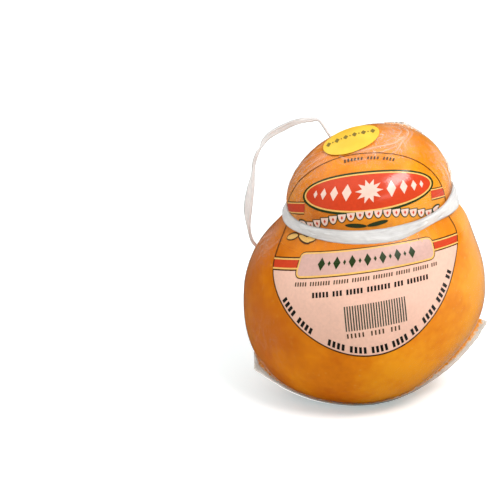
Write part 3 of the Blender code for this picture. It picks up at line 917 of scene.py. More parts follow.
def rind_material():
    material, tree, shader = new_material("smoked_rind")
    place = add_node(tree, "ShaderNodeTexCoord").outputs["Object"]
    clouds = add_node(tree, "ShaderNodeTexNoise", {"Vector": place, "Scale": 38.0, "Detail": 3.0})
    mottle = add_node(tree, "ShaderNodeTexNoise", {"Vector": place, "Scale": 420.0, "Detail": 3.0})
    specks = add_node(tree, "ShaderNodeTexVoronoi", {"Vector": place, "Scale": 300.0})
    across = add_node(tree, "ShaderNodeSeparateXYZ", {"Vector": place}).outputs["X"]
    mixed = add_node(tree, "ShaderNodeMath",
                     {0: mottle.outputs["Fac"], 1: MOTTLE_SHARE, 2: clouds.outputs["Fac"]},
                     operation='MULTIPLY_ADD')
    # Painted shade and light: the tones run browner on the left and lighter to the right, as the light falls
    # from the right.
    mixed = add_node(tree, "ShaderNodeMath",
                     {0: across, 1: PAINTED_LIGHT_TO_RIGHT, 2: mixed.outputs["Value"]}, operation='MULTIPLY_ADD')
    gold = ramp(tree, mixed.outputs["Value"], RIND_TONES)
    dot = add_node(tree, "ShaderNodeMapRange",
                   {"Value": specks.outputs["Distance"], "From Min": 0.05, "From Max": 0.20,
                    "To Min": 0.45, "To Max": 0.0})
    colour = add_node(tree, "ShaderNodeMix", {"Factor": dot.outputs["Result"], "A": gold, "B": SPECK_TONE},
                      data_type='RGBA')
    bump = add_node(tree, "ShaderNodeBump",
                    {"Height": mottle.outputs["Fac"], "Strength": 0.12, "Distance": 0.0003})
    tree.links.new(colour.outputs["Result"], shader.inputs["Base Color"])
    tree.links.new(bump.outputs["Normal"], shader.inputs["Normal"])
    dull_at_neck(tree, shader, *RIND_ROUGHNESS)
    shader.inputs["Specular IOR Level"].default_value = UNDER_FILM_SHINE
    return material


give_values(cheese, "drawn_in", drawn_in(walk))
finish_piece(cheese, rind_material())
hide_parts("scamorza")

# %% [markdown]
# ## Bag
#
# The film is a second, finer ball on the same form, a tenth of a millimetre outside the cheese, with all
# the folds raised in it. A shrunk copy of the cheese would be too coarse for them. Two values are stored
# at its vertices for the finish: where it is creased, and where it has lifted off the cheese and looks
# hazy, which is in patches and in a band before the seam's right end. One patch, on the body's right
# edge, is partly crinkled film and partly a painted reflection of the white floor.

# %% Draw the film over the cheese
FILM_SEGMENTS = 380
FILM_RINGS = 258
FILM_ABOVE_FLOOR = 0.05 * MM
HAZE_SPOTS = (                  # angle in degrees, way walked and reach in mm, strength
    (-168.0, 119.0, 13.0, 0.62), (-177.0, 90.0, 9.0, 0.65), (-45.0, 146.0, 8.5, 0.90),
    (-107.0, 139.5, 6.5, 0.65), (35.0, 143.5, 7.0, 0.70), (-62.0, 139.0, 5.0, 0.80),
    (-4.0, 111.0, 8.0, 0.90), (-14.0, 124.0, 8.0, 0.50), (-60.0, 118.0, 9.0, 0.25),
    (-150.0, 60.0, 12.0, 0.20), (-45.0, 34.0, 16.0, 0.15), (90.0, 120.0, 16.0, 0.45),
    # The spot at -5 degrees and 64 mm, on the right edge, is partly crinkled film and partly a painted
    # reflection of the white floor.
    (95.0, 70.0, 20.0, 0.30), (150.0, 40.0, 16.0, 0.30), (-5.0, 64.0, 12.0, 0.30),
)


def haze_at(points):
    haze = np.zeros(len(points))
    for degrees, way, reach, strength in HAZE_SPOTS:
        middle, _ = skin(np.radians([degrees]), [way * MM])
        haze = np.maximum(haze, strength * bell(np.linalg.norm(points - middle, axis=1), reach * MM))
    below, off_plane = by_seam(points)
    seam_haze = 0.5 * bell(off_plane - 13.0 * MM, 5.0 * MM) * bell(below - 36.0, 18.0)
    return np.maximum(haze, seam_haze)


bpy.ops.mesh.primitive_uv_sphere_add(segments=FILM_SEGMENTS, ring_count=FILM_RINGS, radius=1.0)
film = bpy.context.object
film.name = film.data.name = "bag_film"
angle, walk = ball_places(film)
points, _ = skin(angle, walk)
relief, crease = film_relief(points, angle, walk)
give_values(film, "crease", crease)
give_values(film, "haze", haze_at(points))
points, _ = skin(angle, walk, relief - FILM_INSET)
move_vertices(film, rest_on_floor(points, FILM_ABOVE_FLOOR))
print("film", len(film.data.polygons), "faces, highest fold", round(relief.max() / MM, 2), "mm")

# %% [markdown]
# ### Where film turns white
#
# Clear film turns milky where it is bent sharply or hangs loose. The creases and the haze stored in the
# mesh say where, and two noises break the haze up into thin wandering lines, like crinkles, where each
# noise crosses its middle value. The bag and its seam both need this, so it is a node group.

# %% The group that whitens film where it is creased
COARSE_CRINKLES = (210.0, 1.5, 0.035)       # the noise's scale and distortion, and the lines' width
FINE_CRINKLES = (520.0, 1.0, 0.06)
FINE_SHARE = 0.6
CRINKLES_IN_HAZE = 0.75
PLAIN_HAZE = 0.16


def thin_lines(tree, scale, distortion, width):
    """Thin wandering lines, where a noise crosses its middle value."""
    place = add_node(tree, "ShaderNodeTexCoord").outputs["Object"]
    waves = add_node(tree, "ShaderNodeTexNoise",
                     {"Vector": place, "Scale": scale, "Detail": 1.0, "Distortion": distortion})
    from_middle = add_node(tree, "ShaderNodeMath", {0: waves.outputs["Fac"], 1: 0.5}, operation='SUBTRACT')
    gap = add_node(tree, "ShaderNodeMath", {0: from_middle.outputs["Value"]}, operation='ABSOLUTE')
    line = add_node(tree, "ShaderNodeMapRange",
                    {"Value": gap.outputs["Value"], "From Min": 0.0, "From Max": width,
                     "To Min": 1.0, "To Max": 0.0}, interpolation_type='SMOOTHSTEP')
    return line.outputs["Result"]


def whitening_group():
    """Opacity and height of creased film. It reads the creases and haze stored in the mesh."""
    group, entry = inside_group("film_whitening", ("Clear", "Milky", "Rim"), ("Opacity", "Height"))
    crease = add_node(group, "ShaderNodeAttribute", attribute_name="crease").outputs["Fac"]
    haze = add_node(group, "ShaderNodeAttribute", attribute_name="haze").outputs["Fac"]
    coarse = thin_lines(group, *COARSE_CRINKLES)
    fine = thin_lines(group, *FINE_CRINKLES)
    both = add_node(group, "ShaderNodeMath", {0: fine, 1: FINE_SHARE, 2: coarse}, operation='MULTIPLY_ADD')
    veil = add_node(group, "ShaderNodeMath",
                    {0: both.outputs["Value"], 1: CRINKLES_IN_HAZE, 2: PLAIN_HAZE}, operation='MULTIPLY_ADD')
    hazy = add_node(group, "ShaderNodeMath", {0: veil.outputs["Value"], 1: haze}, operation='MULTIPLY')
    whole = add_node(group, "ShaderNodeMath", {0: hazy.outputs["Value"], 1: crease}, operation='MAXIMUM')
    rimmed = add_node(group, "ShaderNodeMath",
                      {0: whole.outputs["Value"], 1: entry.outputs["Rim"]}, operation='ADD')
    opacity = add_node(group, "ShaderNodeMapRange",
                       {"Value": rimmed.outputs["Value"], "To Min": entry.outputs["Clear"],
                        "To Max": entry.outputs["Milky"]})
    height = add_node(group, "ShaderNodeMath", {0: both.outputs["Value"], 1: haze}, operation='MULTIPLY')
    add_node(group, "NodeGroupOutput",
             {"Opacity": opacity.outputs["Result"], "Height": height.outputs["Value"]})
    return group


film_whitening = whitening_group()
print(film_whitening.name, "has", len(film_whitening.nodes), "nodes")

# %% [markdown]
# ### Clear shrink film
#
# The film can't be seen where it lies flat: its opacity is zero there. It rises in creases and haze, and
# a trace at the rim of the form, where the eye looks along it. Real glass-like transmission would
# also work, but a thin film hardly bends light, and plain opacity is faster and has less noise.

# %% Finish the bag
RIM_BLEND = 0.22
RIM_POWER = 5.0
RIM_SHARE = 0.05
FILM_TINT = (0.97, 0.77, 0.58)
FILM_OPACITY = (0.0, 0.70)      # clear, and milky


def film_material(name, clear, milky, colour):
    """Film that is clear where smooth and milky in creases. clear and milky are its two opacities."""
    material, tree, shader = new_material(name)
    facing = add_node(tree, "ShaderNodeLayerWeight", {"Blend": RIM_BLEND}).outputs["Facing"]
    rim = add_node(tree, "ShaderNodeMath", {0: facing, 1: RIM_POWER}, operation='POWER')
    rim = add_node(tree, "ShaderNodeMath", {0: rim.outputs["Value"], 1: RIM_SHARE}, operation='MULTIPLY')
    whitening = add_node(tree, "ShaderNodeGroup", node_tree=film_whitening)
    whitening.inputs["Clear"].default_value = clear
    whitening.inputs["Milky"].default_value = milky
    tree.links.new(rim.outputs["Value"], whitening.inputs["Rim"])
    bump = add_node(tree, "ShaderNodeBump",
                    {"Height": whitening.outputs["Height"], "Strength": 0.6, "Distance": 0.0003})
    tree.links.new(whitening.outputs["Opacity"], shader.inputs["Alpha"])
    tree.links.new(bump.outputs["Normal"], shader.inputs["Normal"])
    shader.inputs["Base Color"].default_value = (*colour, 1.0)
    shader.inputs["Roughness"].default_value = 0.12
    shader.inputs["Specular IOR Level"].default_value = 0.7
    return material


finish_piece(film, film_material("clear_film", *FILM_OPACITY, FILM_TINT))
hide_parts("scamorza")

# %% [markdown]
# ## Seam and gathered end
#
# The bag is closed by a heat-sealed seam that runs under the cheese and ends in two ears, low on the
# right and on the left. It is a strip of doubled film: a line is cast on the bag in the seam's own
# plane, and a grid grows outward from it, rippled and with pressed lines along it. The seam could be
# extruded from the bag's own mesh, but it runs across the bag's rings and would tear them up. A smaller
# flap stands behind the crown on the right.

# %% Strips of doubled film
STRIP_ROWS = 13
COLUMNS_PER_DEGREE = 3.0
CAST_FROM = 0.2                 # metres from the middle, well outside the bag
STRIP_FILM = 0.12 * MM
ROOT_DEPTH = (0.1 * MM, 0.18)   # how far the root goes into the bag, and that as a share of the height
STRIP_ABOVE_FLOOR = 0.1 * MM

select_only(film)
bpy.context.view_layer.update()
film_tree = BVHTree.FromObject(film, bpy.context.evaluated_depsgraph_get())


def film_strip(name, middle, shape, ripple, seed):
    """A rippled strip of doubled film, standing on the bag's outline in a plane through middle."""
    degrees, tall, tilts = np.array(shape).T
    steps = int(abs(degrees[-1] - degrees[0]) * COLUMNS_PER_DEGREE)
    bpy.ops.mesh.primitive_grid_add(x_subdivisions=steps, y_subdivisions=STRIP_ROWS, size=2.0)
    piece = bpy.context.object
    piece.name = piece.data.name = name
    flat = coordinates(piece)
    pressed = np.zeros(len(flat))
    along, climbs = flat[:, 0].copy(), 0.5 + 0.5 * flat[:, 1]
    pale = climbs ** (1.25 - 0.55 * along)      # the cheese's colour reaches further up at the right
    for i, (across, up, _) in enumerate(flat):
        share = 0.5 + 0.5 * across
        below = degrees[0] + (degrees[-1] - degrees[0]) * share
        height = np.interp(below, degrees, tall) * MM
        height *= 1.0 + 0.10 * noise.noise(Vector((share * 40.0, seed, 0.0)))
        turn, tilt = math.radians(below), math.radians(np.interp(below, degrees, tilts))
        plane_out = Vector((0.0, -math.cos(tilt), math.sin(tilt)))
        ray = Vector((math.cos(turn), -math.sin(turn) * math.sin(tilt), -math.sin(turn) * math.cos(tilt)))
        hit = film_tree.ray_cast(middle + ray * CAST_FROM, -ray)[0]
        climb = 0.5 + 0.5 * up
        radius = (hit - middle).length + climb * height
        radius -= (ROOT_DEPTH[0] + ROOT_DEPTH[1] * height) * (1.0 - climb)
        wave = noise.noise(Vector((share * 26.0, climb * 1.5, seed + 3.0)))
        flat[i] = middle + ray * radius + plane_out * (ripple * MM * climb * wave)
        pressed[i] = 0.6 * bell(climb - 0.8, 0.06) + bell(climb - 1.0, 0.10)
        pressed[i] *= 0.65 + 0.35 * noise.noise(Vector((share * 60.0, climb * 4.0, seed)))
    give_values(piece, "crease", np.clip(pressed + 1.0 - ease(pale, 0.35, 0.60), 0.0, 1.0))
    give_values(piece, "haze", pale)
    # A painted glint: the strip's outer edge is made to glow, about three quarters of the way along it.
    give_values(piece, "glint", bell(climbs - 0.98, 0.18) * bell(along - 0.58, 0.32))
    move_vertices(piece, rest_on_floor(flat, STRIP_ABOVE_FLOOR))
    thick = piece.modifiers.new("film", 'SOLIDIFY')
    thick.thickness = STRIP_FILM
    thick.offset = 0.0
    select_only(piece)
    bpy.ops.object.modifier_apply(modifier="film")
    return piece


print("the bag's mesh is ready to cast lines on")

# %% [markdown]
# ### Sealed film
#
# Two films pressed together are much less clear than one. Near its root the seam takes the colour of
# the cheese that shines through, and further out it turns white, with a crackled border between the two.
# It starts from the bag's own finish, less clear, and gets its own colour and a painted glint: its outer
# edge glows on the left part of the seam and near one end of the gathered end.

# %% Finish for doubled film
SEALED_TONES = (
    (0.62, (0.82, 0.32, 0.03)), (0.76, (0.86, 0.44, 0.16)),
    (0.88, (0.86, 0.66, 0.48)), (1.0, (0.64, 0.58, 0.49)),
)
SEALED_TINT = (0.86, 0.78, 0.72)
SEALED_OPACITY = (0.40, 0.95)
CRACKLE_SHARE = 1.1
PAINTED_GLINT_GLOW = 0.95


def sealed_material():
    """Doubled film: orange where the cheese shines through its root, white at its pressed edge."""
    material = film_material("sealed_film", *SEALED_OPACITY, SEALED_TINT)
    tree = material.node_tree
    climb = add_node(tree, "ShaderNodeAttribute", attribute_name="haze").outputs["Fac"]
    place = add_node(tree, "ShaderNodeTexCoord").outputs["Object"]
    crackle = add_node(tree, "ShaderNodeTexNoise", {"Vector": place, "Scale": 900.0, "Detail": 2.0})
    climb = add_node(tree, "ShaderNodeMath",
                     {0: crackle.outputs["Fac"], 1: CRACKLE_SHARE, 2: climb}, operation='MULTIPLY_ADD')
    colour = ramp(tree, climb.outputs["Value"], SEALED_TONES)
    # The painted glint: an emission mask makes the outer edge glow, a painted highlight.
    glint = add_node(tree, "ShaderNodeAttribute", attribute_name="glint").outputs["Fac"]
    shader = tree.nodes["Principled BSDF"]
    tree.links.new(colour, shader.inputs["Base Color"])
    tree.links.new(glint, shader.inputs["Emission Color"])
    shader.inputs["Emission Strength"].default_value = PAINTED_GLINT_GLOW
    return material


sealed_film = sealed_material()
print(sealed_film.name, "has", len(sealed_film.node_tree.nodes), "nodes")

# %% [markdown]
# ### Stand the seam and the gathered end on the bag
#
# Both are the same kind of strip. The seam's plane goes through the middle of the body, and the gathered
# end's through the middle of the head.

# %% The seam and the gathered end
GATHER_SHAPE = (                # degrees below +X from the head's middle, height in mm, tilt in degrees
    (-78.0, 0.3, 24.0), (-70.0, 0.85, 24.0), (-64.0, 1.25, 24.0), (-57.0, 0.8, 24.0), (-50.0, 0.4, 24.0),
)

body_middle = Vector(TO_ORIGIN)
head_middle = Vector(settle(np.array(((0.0, 0.0, HEAD_MIDDLE),)))[0])
seam = film_strip("bag_seam", body_middle, SEAM_SHAPE, 0.45, 1.0)
finish_piece(seam, sealed_film)
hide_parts("scamorza")
flap = film_strip("bag_gathered_end", head_middle, GATHER_SHAPE, 0.4, 6.0)
finish_piece(flap, sealed_film)
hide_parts("scamorza")
for piece in (seam, flap):
    print(piece.name, "[mm]:", [round(x / MM, 1) for x in piece.dimensions])

# %% [markdown]
# ## Print on the bag
#
# The bag was printed flat and then shrunk on, so the print is drawn flat too, with the round's middle at
# the origin, and then laid on the form. The lay below follows how the film went on: turned a little, the
# width drawn in towards the neck, and lines sagging to the sides. A shrinkwrap modifier would only press
# the drawing straight back, and its shapes would be stretched at the sides.

# %% How the flat print lies on the form
ROUND_RADIUS = 38.4 * MM
LAY_TURN = 0.0823               # radians
LAY_LEVEL = 108.3 * MM          # way walked up to the round's middle
LAY_SIDE = -3.1 * MM
LAY_SAG = -4.3                  # per metre, and how it changes upwards, per square metre
LAY_SAG_CHANGE = -57.1
LAY_SQUEEZE = -5.2              # per metre, along the outline
LAY_STRETCH = 52.0              # per square metre, sideways
LAY_DRAW_IN = 0.51              # how little the width follows the form's own radius
LAY_MEAN_RADIUS = 35.0 * MM
LAY_SLANT = -0.058
LAY_BEND = 1.53                 # per metre
LAY_SKEW = -0.47
LAY_FAN = 1.62


def lay_on(piece, lift):
    """Moves a flat piece from the print's plane onto the film, and follows the film's folds."""
    u, v, _ = coordinates(piece).T
    p = u * math.cos(LAY_TURN) - v * math.sin(LAY_TURN)
    q = u * math.sin(LAY_TURN) + v * math.cos(LAY_TURN)
    walk = LAY_LEVEL + q + (LAY_SAG + LAY_SAG_CHANGE * q) * p ** 2 + LAY_SQUEEZE * q ** 2
    radius = turned_radius(np.interp(walk, walked, heights))
    turn_radius = LAY_MEAN_RADIUS * (radius / LAY_MEAN_RADIUS) ** (1.0 - LAY_DRAW_IN)
    sideways = (LAY_SIDE + p * (1.0 + LAY_STRETCH * p ** 2 + LAY_FAN * q) + LAY_SLANT * q
                + LAY_SKEW * p ** 2 + LAY_BEND * q ** 2)
    angle = -math.pi / 2.0 + sideways / turn_radius
    points, _ = skin(angle, walk)
    relief, _ = film_relief(points, angle, walk)
    points, _ = skin(angle, walk, relief - FILM_INSET + lift)
    move_vertices(piece, points)
    give_values(piece, "drawn_in", drawn_in(walk))
    return piece


print("the printed round is", round(2.0 * ROUND_RADIUS / MM, 1), "mm across")

# %% [markdown]
# ## Flat shapes to print with
#
# A shape has to bend with the form, so each is made of cells about a millimetre wide: a rectangle from a
# grid, a disc from a circle that is inset again and again, a hoop from a circle whose edge is extruded
# inward, a lozenge from a grid turned on its corner. The corners of a rectangle are rounded by moving
# its corner cells onto a quarter circle.

# %% Rectangles, discs, hoops and lozenges
CELL = 1.0 * MM
LOZENGE_CELLS = 3


def flat_rectangle(width, height, u=0.0, v=0.0, corner=0.0):
    columns = max(2, round(width / CELL))
    rows = max(2, round(height / CELL))
    bpy.ops.mesh.primitive_grid_add(x_subdivisions=columns, y_subdivisions=rows, size=1.0)
    piece = bpy.context.object
    spots = coordinates(piece) * (width, height, 1.0)
    if corner > 0.0:
        inner = np.array((width / 2.0 - corner, height / 2.0 - corner))
        past = (np.abs(spots[:, :2]) - inner) / corner
        out = np.all(past > 0.0, axis=1)
        far = past[out].max(axis=1) / np.linalg.norm(past[out], axis=1)
        spots[out, :2] = np.sign(spots[out, :2]) * (inner + past[out] * far[:, None] * corner)
    move_vertices(piece, spots + (u, v, 0.0))
    return piece


def flat_disc(half_width, half_height, u=0.0, v=0.0, sides=96):
    bpy.ops.mesh.primitive_circle_add(vertices=sides, radius=half_width, fill_type='NGON')
    piece = bpy.context.object
    edit(piece)
    for _ in range(int(half_width / CELL) - 1):
        bpy.ops.mesh.inset(thickness=CELL)
    bpy.ops.mesh.poke()
    done()
    move_vertices(piece, coordinates(piece) * (1.0, half_height / half_width, 1.0) + (u, v, 0.0))
    return piece


def flat_hoop(half_width, half_height, line, u=0.0, v=0.0, sides=192):
    bpy.ops.mesh.primitive_circle_add(vertices=sides, radius=1.0, fill_type='NOTHING')
    piece = bpy.context.object
    edit(piece)
    bpy.ops.mesh.extrude_edges_move()
    done()
    spots = coordinates(piece)
    inner = np.arange(len(spots)) >= sides
    grow = np.where(inner[:, None], (half_width - line, half_height - line), (half_width, half_height))
    spots[:, :2] *= grow
    move_vertices(piece, spots + (u, v, 0.0))
    return piece


def flat_lozenge(half_width, half_height, u=0.0, v=0.0):
    bpy.ops.mesh.primitive_grid_add(x_subdivisions=LOZENGE_CELLS, y_subdivisions=LOZENGE_CELLS, size=1.0)
    piece = bpy.context.object
    x, y, _ = coordinates(piece).T
    spots = np.stack(((x + y) * half_width, (y - x) * half_height, 0.0 * x), axis=1)
    move_vertices(piece, spots + (u, v, 0.0))
    return piece


print("cells of", CELL / MM, "mm")

# %% [markdown]
# ### Turn, trim and cut them
#
# Shapes that aren't upright are turned and moved in the print's own plane. A stripe across the round is
# a wide rectangle whose rows are stretched or drawn in until they end on the round's line, and where
# something else covers it, its middle is cut out with two straight cuts.

# %% Helpers for shapes and stripes
END_INSIDE = 0.1 * MM           # stripes end this far inside the ring's outer edge


def turn_and_place(piece, degrees, u, v):
    a = math.radians(degrees)
    x, y, z = coordinates(piece).T
    move_vertices(piece, np.stack((x * math.cos(a) - y * math.sin(a) + u,
                                   x * math.sin(a) + y * math.cos(a) + v, z), axis=1))
    return piece


def end_on_round(piece, radius):
    """Stretches each row of a wide rectangle so that it ends on the round's line."""
    spots = coordinates(piece)
    half = np.abs(spots[:, 0]).max()
    spots[:, 0] *= np.sqrt(radius ** 2 - spots[:, 1] ** 2) / half
    move_vertices(piece, spots)
    return piece


def stripe(top, bottom):
    """A stripe right across the round, its ends on the ring."""
    bar = flat_rectangle(2.0 * ROUND_RADIUS, top - bottom, 0.0, (top + bottom) / 2.0)
    return end_on_round(bar, ROUND_RADIUS - END_INSIDE)


def stripe_lines(top, bottom, width, distance):
    """Two thin lines inside a stripe's edges, at a distance from them."""
    return [stripe(top - distance, top - distance - width),
            stripe(bottom + distance + width, bottom + distance)]


def cut_middle(piece, left, right):
    """Takes a stripe's middle away, between two places across."""
    edit(piece)
    bpy.ops.mesh.bisect(plane_co=(left, 0.0, 0.0), plane_no=(1.0, 0.0, 0.0))
    bpy.ops.mesh.select_all(action='SELECT')
    bpy.ops.mesh.bisect(plane_co=(right, 0.0, 0.0), plane_no=(1.0, 0.0, 0.0))
    bpy.ops.mesh.select_mode(type='FACE')
    bpy.ops.mesh.select_all(action='DESELECT')
    done()
    for face in piece.data.polygons:
        face.select = left < face.center.x < right
    bpy.ops.object.mode_set(mode='EDIT')
    bpy.ops.mesh.delete(type='FACE')
    bpy.ops.mesh.select_mode(type='VERT')
    done()
    return piece


def print_on_bag(shapes, name, material, lift):
    """Joins the flat shapes of one ink, lays them on the bag and gives them their finish."""
    whole = join(shapes, name)
    lay_on(whole, lift)
    finish_piece(whole, material)
    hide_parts("scamorza")


print("stripes end", round((ROUND_RADIUS - END_INSIDE) / MM, 1), "mm from the round's middle")

# %% [markdown]
# ## Inks
#
# Each ink is one piece, as it would be one plate in the press. Ink on film is a little uneven and has
# the film's own gloss, so all inks share one node group for the mottle, and each sets its own colour.
# The whole print could be one picture on the film, but then it would blur when seen from near.

# %% The mottle group and the ink material
INK_MOTTLE = 0.10
INK_ROUGHNESS = (0.18, 0.45)    # away from the string, and beside it


def mottle_group():
    group, entry = inside_group("ink_mottle", ("Color", "Amount"), ("Color", "Height"))
    place = add_node(group, "ShaderNodeTexCoord").outputs["Object"]
    fine = add_node(group, "ShaderNodeTexNoise", {"Vector": place, "Scale": 900.0, "Detail": 2.0})
    broad = add_node(group, "ShaderNodeTexNoise", {"Vector": place, "Scale": 70.0, "Detail": 2.0})
    both = add_node(group, "ShaderNodeMath",
                    {0: fine.outputs["Fac"], 1: broad.outputs["Fac"]}, operation='ADD')
    shade = add_node(group, "ShaderNodeMapRange",
                     {"Value": both.outputs["Value"], "From Min": 0.6, "From Max": 1.4,
                      "To Min": -1.0, "To Max": 1.0})
    scaled = add_node(group, "ShaderNodeMath",
                      {0: shade.outputs["Result"], 1: entry.outputs["Amount"], 2: 1.0},
                      operation='MULTIPLY_ADD')
    tinted = add_node(group, "ShaderNodeVectorMath",
                      {0: entry.outputs["Color"], "Scale": scaled.outputs["Value"]}, operation='SCALE')
    add_node(group, "NodeGroupOutput",
             {"Color": tinted.outputs["Vector"], "Height": fine.outputs["Fac"]})
    return group


ink_mottle = mottle_group()


def ink(name, colour, amount=INK_MOTTLE, roughness=INK_ROUGHNESS[0]):
    material, tree, shader = new_material(name)
    mottle = add_node(tree, "ShaderNodeGroup", node_tree=ink_mottle)
    mottle.inputs["Color"].default_value = (*colour, 1.0)
    mottle.inputs["Amount"].default_value = amount
    bump = add_node(tree, "ShaderNodeBump",
                    {"Height": mottle.outputs["Height"], "Strength": 0.12, "Distance": 0.0002})
    tree.links.new(mottle.outputs["Color"], shader.inputs["Base Color"])
    tree.links.new(bump.outputs["Normal"], shader.inputs["Normal"])
    dull_at_neck(tree, shader, roughness, INK_ROUGHNESS[1])
    shader.inputs["Specular IOR Level"].default_value = UNDER_FILM_SHINE
    return material


PINK_INK = (0.86, 0.54, 0.42)
RED_INK = (0.62, 0.055, 0.016)
GOLD_INK = (0.85, 0.50, 0.14)
BROWN_INK = (0.07, 0.026, 0.006)
GREEN_INK = (0.022, 0.042, 0.010)
CREAM_INK = (0.84, 0.60, 0.50)
PLATE_INK = (0.66, 0.41, 0.35)
BLACK_INK = (0.014, 0.013, 0.010)
GREY_INK = (0.09, 0.055, 0.03)
BAR_INK = (0.06, 0.065, 0.045)
STICKER_INK = (0.22, 0.15, 0.012)
print(ink_mottle.name, "has", len(ink_mottle.nodes), "nodes")

# %% [markdown]
# ## The round's lower half
#
# A fine brown line rings the whole round. Across it run two stripes, red between gold and brown lines,
# and below the lower stripe the film is printed over in pale pink, down to the ring. The pale field is
# a disc with its upper part cut away, and it comes first, because all else is printed over it.

# %% The pale field
STRIPE_TOP = -8.6 * MM
STRIPE_BOTTOM = -12.9 * MM
FIELD_RADIUS = ROUND_RADIUS - 0.2 * MM
FIELD_LIFT = 0.020 * MM

field = flat_disc(FIELD_RADIUS, FIELD_RADIUS, sides=220)
edit(field)
bpy.ops.mesh.bisect(plane_co=(0.0, STRIPE_BOTTOM, 0.0), plane_no=(0.0, 1.0, 0.0), clear_outer=True)
done()
print_on_bag([field], "print_pink", ink("pink_ink", PINK_INK, 0.08), FIELD_LIFT)
print("field", len(field.data.polygons), "faces")

# %% [markdown]
# ## Plate, medallion and ornament
#
# A pale plate with gold and brown edges sits on the lower stripe. On the head above, a long red oval
# with gold and dark green rims carries a rosette and lozenges, and a garland of scallops and leaves
# hangs below it. These are plain kitchen-label ornaments, in the colours and at the scale such labels
# have. All are made from the four flat shapes, so the helpers come first.

# %% Petals, leaves and scallops
PLATE = (-1.0 * MM, -11.1 * MM, 49.6 * MM, 6.8 * MM)        # middle, width and height
OVAL = (2.4 * MM, 16.0 * MM, 27.4 * MM, 8.9 * MM)           # middle, half width and half height
GARLAND_LEVEL = 6.6 * MM
GARLAND_DROP = 3.4 * MM
GARLAND_HALF = 24.5 * MM


def rosette(petals, reach, half_width, u, v):
    return [turn_and_place(flat_lozenge(reach / 2.0, half_width, reach / 2.0), 360.0 * k / petals, u, v)
            for k in range(petals)]


def garland_place(share):
    """A place on the hanging line under the oval, share from -1 at the left to 1 at the right."""
    level = GARLAND_LEVEL - GARLAND_DROP * (share + 0.1) ** 2 + 0.4 * share * MM
    return OVAL[0] + share * GARLAND_HALF, level


def leaf(u, v, degrees, length, half):
    """A long leaf that starts at a place and points away from it."""
    piece = flat_disc(length / 2.0, half, sides=16)
    return turn_and_place(turn_and_place(piece, 0.0, length / 2.0, 0.0), degrees, u, v)


def scallop(half_width, drop, u, v):
    """The lower half of an oval, hanging from a level."""
    piece = flat_disc(half_width, drop, sides=32)
    edit(piece)
    bpy.ops.mesh.bisect(plane_co=(0.0, 0.0, 0.0), plane_no=(0.0, 1.0, 0.0), clear_outer=True)
    done()
    return turn_and_place(piece, 0.0, u, v)


print("the oval is", round(2.0 * OVAL[2] / MM, 1), "by", round(2.0 * OVAL[3] / MM, 1), "mm")

# %% [markdown]
# ### Stripes, rims and plate
#
# The shapes are gathered in one list for each ink. Each stripe is cut out where the plate or the oval
# stands, and the rims are hoops or slightly larger shapes that lie below their fill.

# %% Shapes for the stripes, the oval and the plate
UPPER_STRIPE_TOP = 12.9 * MM
UPPER_STRIPE_BOTTOM = 7.4 * MM
LINE = 0.42 * MM
GOLD_LINE = 0.5 * MM
RED_FROM_EDGE = 0.9 * MM
STRIPES = (                     # top, bottom, and where the cut-out starts and ends
    (STRIPE_TOP, STRIPE_BOTTOM, -25.0 * MM, 23.0 * MM),
    (UPPER_STRIPE_TOP, UPPER_STRIPE_BOTTOM, -24.5 * MM, 29.0 * MM),
)

red_shapes, gold_shapes, brown_shapes = [], [], []
for top, bottom, left, right in STRIPES:
    red_shapes.append(cut_middle(stripe(top - RED_FROM_EDGE, bottom + RED_FROM_EDGE), left, right))
for shapes, width, distance in ((gold_shapes, GOLD_LINE, LINE), (brown_shapes, LINE, 0.0)):
    for top, bottom, left, right in STRIPES:
        shapes += [cut_middle(bar, left, right) for bar in stripe_lines(top, bottom, width, distance)]

red_shapes += [flat_disc(OVAL[2], OVAL[3], OVAL[0], OVAL[1], sides=128)]
gold_shapes += [flat_hoop(OVAL[2] + 0.15 * MM, OVAL[3] + 0.15 * MM, 0.75 * MM, OVAL[0], OVAL[1]),
                flat_rectangle(PLATE[2] + 1.1 * MM, PLATE[3] + 1.1 * MM, PLATE[0], PLATE[1], 1.9 * MM)]
brown_shapes += [flat_hoop(ROUND_RADIUS, ROUND_RADIUS, LINE, sides=256)]
plate_edge = flat_rectangle(PLATE[2] + 1.7 * MM, PLATE[3] + 1.7 * MM, PLATE[0], PLATE[1], 2.2 * MM)
plate_fill = flat_rectangle(PLATE[2], PLATE[3], PLATE[0], PLATE[1], 1.4 * MM)
green_shapes = [flat_hoop(OVAL[2] + 1.2 * MM, OVAL[3] + 1.2 * MM, 1.1 * MM, OVAL[0], OVAL[1])]
print(len(red_shapes), "red shapes,", len(gold_shapes), "gold shapes")

# %% [markdown]
# ### Rosette, garland and leaves
#
# Each scallop is a cream half oval on a larger green one, with a red dot on it, and each leaf of the
# garland is a cream one on a green one. They are placed in loops, by the garland's own line, and not
# one by one, so that they stay evenly spaced.

# %% Shapes for the ornament
ROSETTE_PETALS = 10
LOZENGE_STEPS = ((9.0, 3.9), (14.2, 3.3), (18.7, 2.6), (22.3, 1.8))     # mm from the rosette, half height
SCALLOPS = 15
GARLAND_END = 1.08              # the share where the end leaves sit
LEAF_SPREAD = 32.0              # degrees between them
SIDE_LEAVES = ((-35.2, -2.2, 12.0), (-29.0, -1.2, -24.0), (-26.6, -2.9, 8.0))
MIDDLE_LEAVES = ((1.2, 1.0, 8.0), (1.2, 1.0, 172.0))

